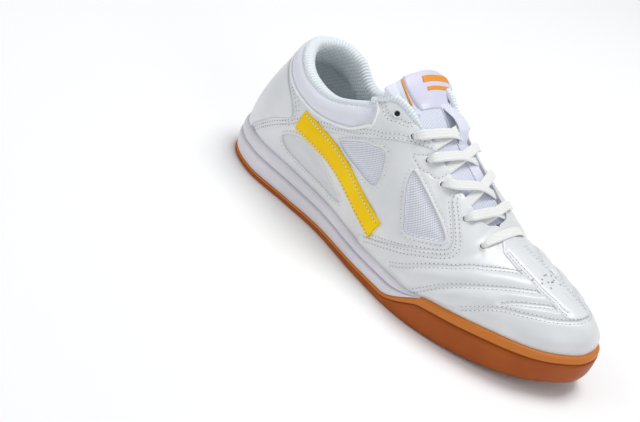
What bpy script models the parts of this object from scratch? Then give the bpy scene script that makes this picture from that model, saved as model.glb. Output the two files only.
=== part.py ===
# Indoor soccer shoe for the right foot, about EU size 42.5.
# The heel is at the low x end, the toe at the high x end, the outer side of the
# foot at negative y and the floor at z = 0. Lengths are in metres.
# Every upper, overlay, collar and tongue surface comes from one rib function.

import math
from functools import partial

import bmesh
import bpy
import numpy as np
from mathutils import Matrix, Vector

# Driving sizes of the last and the sole
LENGTH = 0.292
BALL_WIDTH = 0.100
INSTEP_HEIGHT = 0.108
RIM_HEIGHT = 0.0245
GUM_HEIGHT = 0.0045
TOE_SPRING = 0.012
HEEL_ROUNDING = 0.0015

# Walls and clearances
GAP = 0.0003
FACET_ROOM = 0.0006
UPPER_WALL = 0.0020
GUM_WALL = 0.0032
RIM_LAP = 0.006
STEP_DEPTH = 0.0009
FOAM_BEVEL = 0.0024
INSOLE_THICKNESS = 0.003
OVERLAY_THICKNESS = 0.0013
TONGUE_THICKNESS = 0.0055
TONGUE_SINK = 0.0014
LABEL_THICKNESS = 0.0010
KEEPER_THICKNESS = 0.0008
COLLAR_THICKNESS = 0.0085
COLLAR_TUCK = 0.010
LACE_WIDTH = 0.0065
LACE_THICKNESS = 0.0016
LACE_RISE = 0.0012
LACE_ARCH = 0.0035
BAR_CLEAR = 0.0005
LACE_SETBACK = 0.0030
LACE_FLAT = 0.8
EYELET_BORE = 0.0040
EYELET_INSET = 0.0085
BAND_WIDTH = 0.015
WINDOW_DEPTH = 0.0007
VALLEY_WIDTH = 0.0036
VALLEY_DEPTH = 0.0010
GROOVE_DEPTH = 0.0008

# Tread
LUG_SIZE = 0.0145
LUG_CHANNEL = 0.0045
TREAD_DEPTH = 0.0018
TREAD_BORDER = 0.0045
LUG_EDGE_CLEAR = 0.0020
CUTTER_REACH = 0.010

# Sampling
OUTLINE_POINTS = 60
RIB_ROWS = 8
HEEL_STEP = 0.25
QUARTER_STEP = 0.5
VAMP_STEP = 1 / 3

# Sole outline seen from above, heel first and then the outer side.
# x is a share of LENGTH and y a share of BALL_WIDTH.
OUTLINE = [
    (0.000, 0.000),
    (0.033, -0.255),
    (0.123, -0.380),
    (0.247, -0.385),
    (0.363, -0.395),
    (0.514, -0.475),
    (0.664, -0.515),
    (0.808, -0.435),
    (0.918, -0.290),
    (0.981, -0.095),
    (1.000, 0.060),
    (0.984, 0.240),
    (0.908, 0.385),
    (0.801, 0.465),
    (0.692, 0.470),
    (0.548, 0.385),
    (0.404, 0.310),
    (0.253, 0.325),
    (0.123, 0.345),
    (0.031, 0.240),
]

# Height of the sole's rim above its own underside.
# x is a share of LENGTH and height a share of RIM_HEIGHT.
RIM = [
    (0.00, 0.98),
    (0.14, 1.00),
    (0.27, 0.92),
    (0.38, 0.83),
    (0.48, 0.76),
    (0.58, 0.79),
    (0.65, 0.80),
    (0.70, 0.92),
    (0.77, 0.97),
    (0.84, 0.98),
    (0.90, 0.92),
    (0.96, 0.83),
    (1.00, 0.80),
]

# Thickness of the gum under the foam, as a share of GUM_HEIGHT
GUM = [
    (0.00, 0.90),
    (0.30, 0.95),
    (0.48, 1.20),
    (0.60, 1.45),
    (1.00, 1.50),
]

# Where the gum climbs from under the foam to the rim, as shares of LENGTH
GUM_CLIMB_START = 0.590
GUM_CLIMB_END = 0.690

# Side of the gum cup from its top edge down.
# inset: in from the sole's outline, share of GUM_WALL; groove: share of
# STEP_DEPTH added to it; low, high: level up the side before and after the climb
GUM_SIDE = [
    (0.38, 0.0, 0.88, 0.92),
    (0.06, 0.0, 0.70, 0.80),
    (0.06, 1.0, 0.68, 0.74),
    (0.00, 0.0, 0.62, 0.68),
    (0.19, 0.0, 0.10, 0.30),
]
GUM_FOOT = 0.38

# Side of the foam from the gum up to the rim.
# inset: in from the sole's outline, share of FOAM_BEVEL; groove: share of
# GROOVE_DEPTH added to it; level: share of the foam's height
FOAM_SIDE = [
    (0.17, 0.0, 0.30),
    (0.25, 0.0, 0.55),
    (0.25, 1.0, 0.60),
    (0.25, 0.0, 0.66),
    (0.50, 0.0, 0.88),
]
FOAM_FOOT = 0.50
FOAM_BASE = 0.40

# Where the toe starts to lift and the heel edge to round, as shares of LENGTH
SPRING_START = 0.59
ROUNDING_END = 0.06

# Ribs of the upper, from the heel round the outer side to the toe and back.
# foot: outline row that the rib stands on, counted with decimals
# x, y, z: where the rib ends, as shares of LENGTH, BALL_WIDTH and INSTEP_HEIGHT
# rise, bulge: first handle up and out, shares of INSTEP_HEIGHT and BALL_WIDTH
# reach: last handle, share of BALL_WIDTH; droop: how steeply the rib arrives
RIBS = [
    ("heel", 0.00, 0.082, 0.000, 0.875, 0.24, 0.005, 0.26, 0.93),
    ("heel_corner_outer", 1.00, 0.113, -0.170, 0.843, 0.24, 0.000, 0.26, 0.93),
    ("heel_side_outer", 2.00, 0.171, -0.265, 0.787, 0.22, 0.020, 0.24, 0.92),
    ("ankle_outer", 2.90, 0.250, -0.280, 0.778, 0.20, 0.040, 0.22, 0.85),
    ("quarter_outer", 3.80, 0.346, -0.270, 0.907, 0.22, 0.040, 0.30, 0.80),
    ("facing_top_outer", 4.30, 0.404, -0.240, 1.000, 0.22, 0.040, 0.36, 0.75),
    ("throat_1_outer", 4.85, 0.486, -0.175, 0.884, 0.20, 0.040, 0.34, 0.60),
    ("throat_2_outer", 5.30, 0.548, -0.160, 0.796, 0.19, 0.040, 0.30, 0.50),
    ("throat_3_outer", 5.75, 0.616, -0.150, 0.708, 0.16, 0.040, 0.26, 0.40),
    ("throat_4_outer", 6.20, 0.678, -0.110, 0.625, 0.14, 0.040, 0.24, 0.25),
    ("throat_end", 6.60, 0.695, 0.005, 0.602, 0.13, 0.040, 0.30, 0.00),
    ("vamp_1_outer", 7.05, 0.743, 0.015, 0.560, 0.12, 0.030, 0.28, 0.00),
    ("vamp_2_outer", 7.50, 0.798, 0.030, 0.528, 0.12, 0.030, 0.26, 0.00),
    ("toe_side_outer", 8.10, 0.853, 0.045, 0.502, 0.11, 0.020, 0.22, 0.00),
    ("toe_corner_outer", 8.90, 0.901, 0.060, 0.480, 0.11, 0.015, 0.16, 0.00),
    ("toe_tip", 10.00, 0.935, 0.070, 0.456, 0.11, 0.015, 0.12, 0.00),
    ("toe_corner_inner", 10.90, 0.901, 0.060, 0.480, 0.11, 0.015, 0.16, 0.00),
    ("toe_side_inner", 11.70, 0.853, 0.045, 0.502, 0.12, 0.020, 0.21, 0.00),
    ("vamp_2_inner", 12.40, 0.798, 0.030, 0.528, 0.12, 0.030, 0.24, 0.00),
    ("vamp_1_inner", 13.00, 0.743, 0.015, 0.560, 0.13, 0.030, 0.27, 0.00),
    ("throat_end_inner", 13.45, 0.695, 0.005, 0.602, 0.14, 0.030, 0.28, 0.00),
    ("throat_4_inner", 13.85, 0.678, 0.120, 0.625, 0.15, 0.030, 0.22, 0.25),
    ("throat_3_inner", 14.30, 0.616, 0.150, 0.708, 0.17, 0.030, 0.24, 0.40),
    ("throat_2_inner", 14.75, 0.548, 0.160, 0.796, 0.19, 0.030, 0.28, 0.50),
    ("throat_1_inner", 15.20, 0.486, 0.175, 0.884, 0.21, 0.030, 0.32, 0.60),
    ("facing_top_inner", 15.75, 0.404, 0.230, 0.991, 0.23, 0.030, 0.34, 0.75),
    ("quarter_inner", 16.25, 0.339, 0.262, 0.868, 0.23, 0.030, 0.28, 0.80),
    ("ankle_inner", 17.10, 0.240, 0.250, 0.722, 0.22, 0.030, 0.22, 0.85),
    ("heel_side_inner", 18.00, 0.171, 0.250, 0.832, 0.23, 0.020, 0.24, 0.92),
    ("heel_corner_inner", 19.00, 0.113, 0.188, 0.875, 0.26, 0.000, 0.26, 0.93),
]
RIB_COUNT = len(RIBS)
CREST_FIRST = 10
CREST_MIDDLE = 15
CREST_LAST = 20
THROAT_FIRST = 5
HEEL_LAST = 2

# Depth of the collar's outer textile below its top edge.
# rib: rib number either way from the heel; depth: share of INSTEP_HEIGHT
COLLAR_DEPTH = [
    (0.0, 0.150),
    (1.0, 0.155),
    (2.0, 0.150),
    (3.0, 0.165),
    (4.0, 0.225),
]
COLLAR_END = 4.0
COLLAR_MARGIN = 0.03

# Cross-section of the collar roll.
# down: distance below the top edge, share of COLLAR_THICKNESS, or the seam or
# the tuck as named; inward: distance in from the outer surface, same share
COLLAR_SECTION = [
    ("seam", -0.04, 0.00),
    ("down", 1.30, -0.10),
    ("down", 0.60, -0.05),
    ("down", 0.12, 0.18),
    ("down", 0.00, 0.50),
    ("down", 0.15, 0.85),
    ("down", 0.75, 1.10),
    ("down", 1.70, 1.12),
    ("tuck", 0.00, 0.62),
]

# Tongue sections from the toe end to the free top.
# rib: rib whose end the section passes; lift: how far the middle stands above
# the line between the throat edges; under: how far it reaches below the facing.
# Lift and under are shares of BALL_WIDTH.
TONGUE = [
    (9.40, -0.010, 0.090),
    (9.00, -0.005, 0.120),
    (8.50, 0.000, 0.120),
    (8.00, 0.004, 0.120),
    (7.50, 0.008, 0.120),
    (7.00, 0.012, 0.120),
    (6.50, 0.016, 0.120),
    (6.00, 0.018, 0.095),
    (5.50, 0.020, 0.055),
]
# Free top of the tongue: x and z of the middle, its y, half width, drop of the
# sides and how far the sides lie back toward the heel. x and back are shares of
# LENGTH, z of INSTEP_HEIGHT, y, half width and drop of BALL_WIDTH.
TONGUE_TOP = [
    (0.424, 0.984, 0.000, 0.185, 0.070, 0.004),
    (0.406, 1.018, 0.004, 0.192, 0.060, 0.003),
    (0.390, 1.048, 0.008, 0.214, 0.052, 0.002),
    (0.375, 1.070, 0.016, 0.262, 0.062, 0.000),
    (0.364, 1.082, 0.018, 0.250, 0.070, -0.003),
]

# Columns of the tongue either side of its middle, as shares of the half width,
# for the first row of the free top and for its last row
LACED_COLUMNS = (0.78, 0.90, 1.0)
FREE_COLUMNS = (0.40, 0.72, 1.0)

# Label and lace keeper: first row, last row counted back from the tongue's top,
# half width as a share of the tongue's, and steps along
LABEL_PLACE = (9.4, 0.1, 0.55, 7)
KEEPER_PLACE = (3.0, 4.5, 0.20, 8)

# Windows in the quarter: rib and height up the rib, going round each window
WINDOWS = {
    "window_rear": [
        (2.50, 0.23),
        (2.66, 0.32),
        (3.00, 0.39),
        (3.30, 0.38),
        (3.70, 0.28),
        (4.20, 0.20),
        (4.72, 0.13),
        (4.40, 0.10),
        (3.70, 0.11),
        (3.10, 0.13),
        (2.70, 0.16),
    ],
    "window_middle": [
        (3.98, 0.57),
        (4.17, 0.61),
        (4.60, 0.64),
        (5.10, 0.67),
        (5.40, 0.70),
        (5.52, 0.67),
        (5.62, 0.60),
        (5.66, 0.51),
        (5.48, 0.47),
        (5.00, 0.47),
        (4.45, 0.50),
    ],
    "window_front": [
        (6.34, 0.77),
        (6.50, 0.78),
        (6.90, 0.765),
        (7.40, 0.74),
        (8.00, 0.70),
        (8.38, 0.65),
        (8.44, 0.60),
        (8.00, 0.52),
        (7.57, 0.45),
        (7.26, 0.425),
        (7.05, 0.48),
        (6.75, 0.58),
        (6.45, 0.68),
    ],
}

# Eyelets: rib each stands near
EYELET_RIBS = [5.15, 5.75, 6.50, 7.35, 8.50, 9.85]

# How far a crossing slants toward the next eyelet down, as a share of the step,
# how much of that slant it has where it leaves its own facing,
# where the lowest crossing stops and where the bar crosses the crest, in ribs,
# and how far up the ribs the bar bends over
LACE_SLANT = 0.75
LACE_LEAD = 0.40
LACE_END_RIB = 1.1
BAR_RIB = 0.55
BAR_SHARE = 0.96

# Side band: rib and height up the rib of its middle line
SIDE_BAND = [
    (2.75, 0.555),
    (3.25, 0.520),
    (3.80, 0.455),
    (4.40, 0.385),
    (5.00, 0.325),
    (5.60, 0.275),
    (6.25, 0.225),
]

# Top edge of the heel counter: rib either way from the heel, height up the rib
COUNTER_EDGE = [
    (0.0, 0.76),
    (1.0, 0.74),
    (1.8, 0.68),
    (2.2, 0.60),
    (2.5, 0.50),
]
COUNTER_FOOT = 0.06

# Stitched valleys that divide the quilted ridges of the vamp.
# rib and height up the rib, from the sole's edge to the crest
RIDGE_VALLEYS = [
    [(7.50, 0.13), (8.38, 0.33), (9.59, 0.51), (10.91, 0.70), (11.73, 0.83), (12.30, 0.95)],
    [(8.95, 0.15), (9.70, 0.31), (10.60, 0.45), (11.93, 0.66), (12.90, 0.84), (13.30, 0.95)],
    [(11.45, 0.38), (11.97, 0.50), (12.94, 0.67), (13.68, 0.80), (14.20, 0.95)],
]

# Valley in front of them all, from the outer side to the middle of the crest
TOE_VALLEY = [(10.40, 0.15), (11.14, 0.29), (11.97, 0.39), (13.22, 0.53), (14.11, 0.68), (15.00, 0.86)]


def hermite_table(position, table):
    """Smooth value at each position through the rows (position, value)."""
    rows = np.asarray(table, float)
    xs = rows[:, 0]
    ys = rows[:, 1]
    position = np.clip(np.asarray(position, float), xs[0], xs[-1])
    row = np.clip(np.searchsorted(xs, position, side="right") - 1, 0, len(xs) - 2)
    width = xs[row + 1] - xs[row]
    u = (position - xs[row]) / width
    slopes = np.gradient(ys, xs)
    start = (2 * u**3 - 3 * u**2 + 1) * ys[row] + (u**3 - 2 * u**2 + u) * width * slopes[row]
    end = (3 * u**2 - 2 * u**3) * ys[row + 1] + (u**3 - u**2) * width * slopes[row + 1]
    return start + end


def spline(rows, position, closed=True):
    """Catmull-Rom curve through the rows at each decimal row number."""
    rows = np.asarray(rows, float)
    count = len(rows)
    position = np.atleast_1d(np.asarray(position, float))
    row = np.floor(position).astype(int)
    if not closed:
        row = np.clip(row, 0, count - 2)
    u = (position - row)[:, None]
    near = []
    for step in (-1, 0, 1, 2):
        if closed:
            near.append(rows[(row + step) % count])
        else:
            near.append(rows[np.clip(row + step, 0, count - 1)])
    before, start, end, after = near
    start_slope = (end - before) / 2
    end_slope = (after - start) / 2
    curve = (2 * u**3 - 3 * u**2 + 1) * start + (u**3 - 2 * u**2 + u) * start_slope
    return curve + (3 * u**2 - 2 * u**3) * end + (u**3 - u**2) * end_slope


def outline_at(number, inset=0.0):
    """Point of the sole outline in plan, moved inward, and the outward side."""
    scale = np.array([LENGTH, BALL_WIDTH])
    number = np.atleast_1d(np.asarray(number, float))
    point = spline(OUTLINE, number) * scale
    tangent = (spline(OUTLINE, number + 0.01) - spline(OUTLINE, number - 0.01)) * scale
    tangent /= np.linalg.norm(tangent, axis=1)[:, None]
    inward = np.stack([-tangent[:, 1], tangent[:, 0]], axis=1)
    return point + inward * np.atleast_1d(inset)[:, None], -inward


def underside(x):
    """Height of the sole's underside: flat, with toe spring and a rounded heel."""
    share = np.asarray(x, float) / LENGTH
    spring = np.clip((share - SPRING_START) / (1 - SPRING_START), 0, 1.2) ** 2
    rounding = np.clip((ROUNDING_END - share) / ROUNDING_END, 0, 1) ** 2
    return TOE_SPRING * spring + HEEL_ROUNDING * rounding


def rim_top(x):
    """Height of the sole's upper edge."""
    return underside(x) + RIM_HEIGHT * hermite_table(np.asarray(x) / LENGTH, RIM)


def footbed(x):
    """Height of the floor inside the sole."""
    return rim_top(x) - RIM_LAP


def gum_floor(x):
    """Height of the top of the gum under the foam."""
    return underside(x) + GUM_HEIGHT * hermite_table(np.asarray(x) / LENGTH, GUM)


def gum_side_top(x):
    """Height of the gum at the side, which climbs to the rim at the forefoot."""
    share = (np.asarray(x, float) / LENGTH - GUM_CLIMB_START) / (GUM_CLIMB_END - GUM_CLIMB_START)
    share = np.clip(share, 0, 1)
    climb = share * share * (3 - 2 * share)
    return gum_floor(x) + (rim_top(x) - gum_floor(x)) * climb


def rib_ends(number):
    """Foot, end, outward side, handle sizes and crest slope of each rib."""
    number = np.atleast_1d(np.asarray(number, float)) % RIB_COUNT
    table = np.array([row[1:] for row in RIBS], float)
    feet = table[:, 0]
    feet = np.concatenate([feet - len(OUTLINE), feet, feet + len(OUTLINE)])
    rows = np.arange(-RIB_COUNT, 2 * RIB_COUNT)
    place = hermite_table(number, np.stack([rows, feet], axis=1))
    plan, outward = outline_at(place, GUM_WALL + GAP + FACET_ROOM)
    foot = np.column_stack([plan, rim_top(plan[:, 0])])
    scale = np.array([LENGTH, BALL_WIDTH, INSTEP_HEIGHT])
    end = spline(table[:, 1:4], number) * scale
    crest = table[CREST_FIRST:CREST_MIDDLE + 1, 1:4] * scale
    folded = np.where(number > CREST_MIDDLE, 2 * CREST_MIDDLE - number, number)
    on_crest = (number >= CREST_FIRST) & (number <= CREST_LAST)
    crest_point = spline(crest, np.clip(folded - CREST_FIRST, 0, 5), closed=False)
    end[on_crest] = crest_point[on_crest]
    slopes = np.gradient(crest[:, 2], crest[:, 0])
    known = np.concatenate([[0.0, slopes[0] / 2], slopes])
    slope = np.interp(np.clip(folded, 8, 15), np.arange(8, 16), known)
    handles = spline(table[:, 4:], number)
    return foot, end, outward, handles, slope


def surface(number, height):
    """Point of the upper's outer surface at a rib number and a share up it."""
    number = np.atleast_1d(np.asarray(number, float))
    u = np.broadcast_to(np.asarray(height, float), number.shape)[:, None]
    foot, end, outward, handles, slope = rib_ends(number)
    rise = handles[:, 0] * INSTEP_HEIGHT
    bulge = handles[:, 1] * BALL_WIDTH
    reach = handles[:, 2] * BALL_WIDTH
    droop = np.clip(handles[:, 3], 0, 1)
    first = foot + np.column_stack([outward * bulge[:, None], rise])
    level = (foot - end)[:, :2]
    level /= np.linalg.norm(level, axis=1)[:, None]
    arrival = np.column_stack([level * np.sqrt(1 - droop**2)[:, None], -droop])
    arrival[:, 2] += slope * arrival[:, 0]
    arrival /= np.linalg.norm(arrival, axis=1)[:, None]
    last = end + arrival * reach[:, None]
    w = 1 - u
    return foot * w**3 + 3 * first * w**2 * u + 3 * last * w * u**2 + end * u**3


def normal(number, height):
    """Outward direction of the upper's outer surface."""
    number = np.atleast_1d(np.asarray(number, float))
    height = np.broadcast_to(np.asarray(height, float), number.shape)
    short = np.minimum(height, 0.98)
    along = surface(number + 0.03, short) - surface(number - 0.03, short)
    above = np.clip(height + 0.01, 0, 1)
    below = np.clip(height - 0.01, 0, 1)
    up = surface(number, above) - surface(number, below)
    side = np.cross(along, up)
    return side / np.linalg.norm(side, axis=1)[:, None]


def raised(number, height, lift):
    """Surface point moved out along the surface's own direction."""
    return surface(number, height) + normal(number, height) * lift


def height_below_end(number, distance):
    """Share up each rib that lies a distance down from the rib's end."""
    shares = np.linspace(1, 0, 101)
    result = []
    for rib, drop in zip(np.atleast_1d(number), np.broadcast_to(distance, np.shape(number))):
        line = surface(np.full(101, rib), shares)
        run = np.concatenate([[0], np.cumsum(np.linalg.norm(np.diff(line, axis=0), axis=1))])
        result.append(np.interp(drop, run, shares))
    return np.array(result)


def material(name, colour, roughness, coat=0.0):
    """Plain Principled material."""
    made = bpy.data.materials.new(name)
    made.use_nodes = True
    shader = made.node_tree.nodes["Principled BSDF"]
    shader.inputs["Base Color"].default_value = (*colour, 1)
    shader.inputs["Roughness"].default_value = roughness
    shader.inputs["Coat Weight"].default_value = coat
    return made


def add_object(name, points, faces, look, folder):
    """Mesh object from points and faces, doubles welded, faces turned out."""
    mesh = bpy.data.meshes.new(name)
    mesh.from_pydata([tuple(map(float, point)) for point in points], [], faces)
    work = bmesh.new()
    work.from_mesh(mesh)
    bmesh.ops.remove_doubles(work, verts=work.verts, dist=0.00002)
    bmesh.ops.dissolve_degenerate(work, edges=work.edges, dist=0.00001)
    bmesh.ops.recalc_face_normals(work, faces=work.faces)
    work.to_mesh(mesh)
    work.free()
    made = bpy.data.objects.new(name, mesh)
    folder.objects.link(made)
    if look:
        mesh.materials.append(look)
    return made


def ring_faces(rows, columns, closed=True):
    """Quads between rows of points that each hold the same number of columns."""
    faces = []
    span = columns if closed else columns - 1
    for row in range(rows - 1):
        for column in range(span):
            after = (column + 1) % columns
            low = row * columns
            high = low + columns
            faces.append((low + column, low + after, high + after, high + column))
    return faces


def ladder_faces(first, columns):
    """Faces across an outline ring between its outer and inner side."""
    half = columns // 2
    faces = [(first, first + 1, first + columns - 1)]
    for step in range(1, half - 1):
        outer = first + step
        inner = first + columns - step
        faces.append((outer, outer + 1, inner - 1, inner))
    faces.append((first + half - 1, first + half, first + half + 1))
    return faces


def sole_body(name, rings, look, folder):
    """Closed solid from outline rings, each (inset, height function)."""
    numbers = np.arange(OUTLINE_POINTS) * len(OUTLINE) / OUTLINE_POINTS
    points = []
    for inset, height in rings:
        plan, outward = outline_at(numbers, inset)
        points.append(np.column_stack([plan, height(plan[:, 0])]))
    faces = ring_faces(len(rings), OUTLINE_POINTS)
    faces += ladder_faces(0, OUTLINE_POINTS)
    faces += ladder_faces((len(rings) - 1) * OUTLINE_POINTS, OUTLINE_POINTS)
    return add_object(name, np.concatenate(points), faces, look, folder)


def boolean(target, cutter, operation):
    """Apply an exact Boolean and remove the other body."""
    step = target.modifiers.new("Boolean", "BOOLEAN")
    step.object = cutter
    step.operation = operation
    step.solver = "EXACT"
    apply_modifiers(target)
    bpy.data.objects.remove(cutter, do_unlink=True)


def apply_modifiers(target):
    """Replace the object's mesh by its evaluated mesh."""
    graph = bpy.context.evaluated_depsgraph_get()
    mesh = bpy.data.meshes.new_from_object(target.evaluated_get(graph))
    target.modifiers.clear()
    target.data = mesh


def loft(name, sections, look, folder, closed=False):
    """Closed solid through sections that each hold one ring of points."""
    rows = len(sections)
    columns = len(sections[0])
    faces = ring_faces(rows, columns)
    if not closed:
        faces.append(tuple(range(columns)))
        faces.append(tuple(range((rows - 1) * columns, rows * columns)))
    return add_object(name, np.concatenate(sections), faces, look, folder)


def patch(name, grid, low, high, look, folder):
    """Sheet over the upper between two lifts; grid rows hold (rib, height)."""
    rows = len(grid)
    columns = len(grid[0])
    flat = np.array(grid, float).reshape(-1, 2)
    inner = raised(flat[:, 0], flat[:, 1], low)
    outer = raised(flat[:, 0], flat[:, 1], high)
    points = np.concatenate([inner, outer])
    layer = rows * columns
    faces = []
    for face in ring_faces(rows, columns, closed=False):
        faces.append(face)
        faces.append(tuple(corner + layer for corner in face))
    border = list(range(columns))
    border += [row * columns + columns - 1 for row in range(1, rows)]
    border += [(rows - 1) * columns + column for column in range(columns - 2, -1, -1)]
    border += [row * columns for row in range(rows - 2, 0, -1)]
    for corner, after in zip(border, border[1:] + border[:1]):
        faces.append((corner, after, after + layer, corner + layer))
    return add_object(name, points, faces, look, folder)


def disc_cutter(name, border, depth, folder):
    """Flat cutter that follows the upper inside a closed border."""
    border = np.array(border, float)
    middle = border.mean(axis=0)
    rings = [border, (border + middle) / 2]
    flat = np.concatenate(rings + [middle[None, :]])
    columns = len(border)
    inner = raised(flat[:, 0], flat[:, 1], -depth)
    outer = raised(flat[:, 0], flat[:, 1], 3 * depth)
    layer = len(flat)
    faces = []
    for offset in (0, layer):
        for face in ring_faces(len(rings), columns):
            faces.append(tuple(corner + offset for corner in face))
        last = offset + (len(rings) - 1) * columns
        for column in range(columns):
            after = (column + 1) % columns
            faces.append((last + column, last + after, last + columns))
    for column in range(columns):
        after = (column + 1) % columns
        faces.append((column, after, after + layer, column + layer))
    return add_object(name, np.concatenate([inner, outer]), faces, None, folder)


def rounded(border, steps=2):
    """Closed border smoothed through its own corners."""
    numbers = np.arange(len(border) * steps) / steps
    return spline(border, numbers)


def mirrored(rows):
    """The same rib places on the inner side of the foot."""
    return [(RIB_COUNT - rib, height) for rib, height in rows]


def build_outsole(look, folder, cutters):
    """Gum rubber cup with a border and hexagon lugs underneath."""
    rings = [(GUM_WALL, gum_floor), (GUM_WALL, gum_side_top)]
    for inset, groove, low, high in GUM_SIDE:
        rings.append((inset * GUM_WALL + groove * STEP_DEPTH, partial(side_level, low=low, high=high)))
    rings.append((GUM_FOOT * GUM_WALL, underside))
    body = sole_body("outsole", rings, look, folder)
    pocket_rings = [(TREAD_BORDER, tread_ceiling), (TREAD_BORDER, below_sole)]
    pocket = sole_body("tread_pocket", pocket_rings, None, cutters)
    boolean(body, pocket, "DIFFERENCE")
    lugs = build_lugs(cutters)
    reach = TREAD_BORDER - LUG_EDGE_CLEAR
    field = sole_body("tread_field", [(reach, gum_floor), (reach, below_sole)], None, cutters)
    boolean(lugs, field, "INTERSECT")
    boolean(body, lugs, "UNION")
    return body


def tread_ceiling(x):
    """Height of the flat between the lugs."""
    return underside(x) + TREAD_DEPTH


def below_sole(x):
    """Height that a cutter reaches under the sole."""
    return underside(x) - CUTTER_REACH


def side_level(x, low, high):
    """Level on the gum's side between the underside and its top edge."""
    climb = (np.asarray(x) / LENGTH - GUM_CLIMB_START) / (GUM_CLIMB_END - GUM_CLIMB_START)
    share = low + (high - low) * np.clip(climb, 0, 1)
    return underside(x) + (gum_side_top(x) - underside(x)) * share


def build_lugs(folder):
    """Hexagon lugs in a honeycomb over the whole underside."""
    pitch_y = math.sqrt(3) * LUG_SIZE + LUG_CHANNEL
    pitch_x = pitch_y * math.sqrt(3) / 2
    points = []
    faces = []
    columns = int(LENGTH / pitch_x) + 2
    rows = math.ceil(BALL_WIDTH / pitch_y / 2)
    for column in range(columns):
        for row in range(-rows, rows + 1):
            x = column * pitch_x
            y = (row + 0.5 * (column % 2)) * pitch_y
            first = len(points)
            for level in (0, 1):
                for corner in range(6):
                    angle = math.radians(60 * corner)
                    px = x + LUG_SIZE * math.cos(angle)
                    py = y + LUG_SIZE * math.sin(angle)
                    base = float(underside(px))
                    points.append((px, py, base + level * (TREAD_DEPTH + 2 * FACET_ROOM)))
            faces.append(tuple(range(first, first + 6)))
            faces.append(tuple(range(first + 6, first + 12)))
            for corner in range(6):
                after = (corner + 1) % 6
                faces.append((first + corner, first + after, first + 6 + after, first + 6 + corner))
    return add_object("lugs", points, faces, None, folder)


def build_midsole(look, folder, cutters):
    """White foam with a grooved side, cut where the gum cup climbs."""
    rings = [(GUM_WALL + FOAM_BEVEL, foam_base), (FOAM_FOOT * FOAM_BEVEL, foam_base)]
    for inset, groove, level in FOAM_SIDE:
        rings.append((inset * FOAM_BEVEL + groove * GROOVE_DEPTH, partial(foam_level, share=level)))
    rings += [(FOAM_BEVEL, rim_top), (GUM_WALL, rim_top), (GUM_WALL, footbed)]
    body = sole_body("midsole", rings, look, folder)
    space_rings = [
        (GUM_WALL + GAP, above_gum),
        (GUM_WALL + GAP, above_gum_side),
        (-GUM_WALL, above_gum_side),
        (-GUM_WALL, below_sole),
    ]
    gum_space = sole_body("gum_space", space_rings, None, cutters)
    boolean(body, gum_space, "DIFFERENCE")
    return body


def foam_base(x):
    """Level of the foam block before the gum's space is cut away."""
    return underside(x) + GUM_HEIGHT * FOAM_BASE


def foam_level(x, share):
    """Level on the foam's side between the gum's sheet and the rim."""
    return gum_floor(x) + (rim_top(x) - gum_floor(x)) * share


def above_gum(x):
    """Underside of the foam, clear of the gum's sheet."""
    return gum_floor(x) + GAP


def above_gum_side(x):
    """Underside of the foam's lip, clear of the gum's side."""
    return gum_side_top(x) + GAP * 1.2


def build_insole(look, folder):
    """Thin sheet on the footbed inside the upper."""
    inset = GUM_WALL + UPPER_WALL + 3 * GAP + 2 * FACET_ROOM
    rings = [(inset, insole_floor), (inset, insole_top)]
    return sole_body("insole", rings, look, folder)


def insole_floor(x):
    """Underside of the insole."""
    return footbed(x) + GAP


def insole_top(x):
    """Upper face of the insole."""
    return insole_floor(x) + INSOLE_THICKNESS


def upper_columns():
    """Rib numbers of the upper's grid, closer at the heel and over the vamp."""
    heel = np.arange(0, HEEL_LAST, HEEL_STEP)
    quarter = np.arange(HEEL_LAST, CREST_FIRST - 1, QUARTER_STEP)
    outer = np.concatenate([heel, quarter])
    vamp = np.arange(CREST_FIRST - 1, CREST_LAST + 1.01, VAMP_STEP)
    inner = RIB_COUNT - outer[outer > 0]
    return np.sort(np.concatenate([outer, vamp, inner]))


def collar_columns():
    """Rib numbers of the collar, the same as the upper's, counted from the heel."""
    columns = upper_columns()
    columns = np.where(columns > RIB_COUNT / 2, columns - RIB_COUNT, columns)
    return np.sort(columns[np.abs(columns) <= COLLAR_END])


def collar_seam(number):
    """Distance of the collar's seam below the top edge at each rib."""
    return INSTEP_HEIGHT * hermite_table(np.abs(number), COLLAR_DEPTH)


def build_collar_space(folder):
    """Cutter that takes the leather away above the collar's seam."""
    numbers = collar_columns()
    numbers[0] -= COLLAR_MARGIN
    numbers[-1] += COLLAR_MARGIN
    share = height_below_end(numbers, collar_seam(numbers))
    above = np.array([0, 0, COLLAR_THICKNESS])
    rows = [
        raised(numbers, share, COLLAR_THICKNESS),
        raised(numbers, share, -COLLAR_THICKNESS),
        raised(numbers, np.ones(len(numbers)), -COLLAR_THICKNESS) + above,
        raised(numbers, np.ones(len(numbers)), COLLAR_THICKNESS) + above,
    ]
    sections = []
    for column in range(len(numbers)):
        sections.append(np.array([row[column] for row in rows]))
    return loft("collar_space", sections, None, folder)


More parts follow.
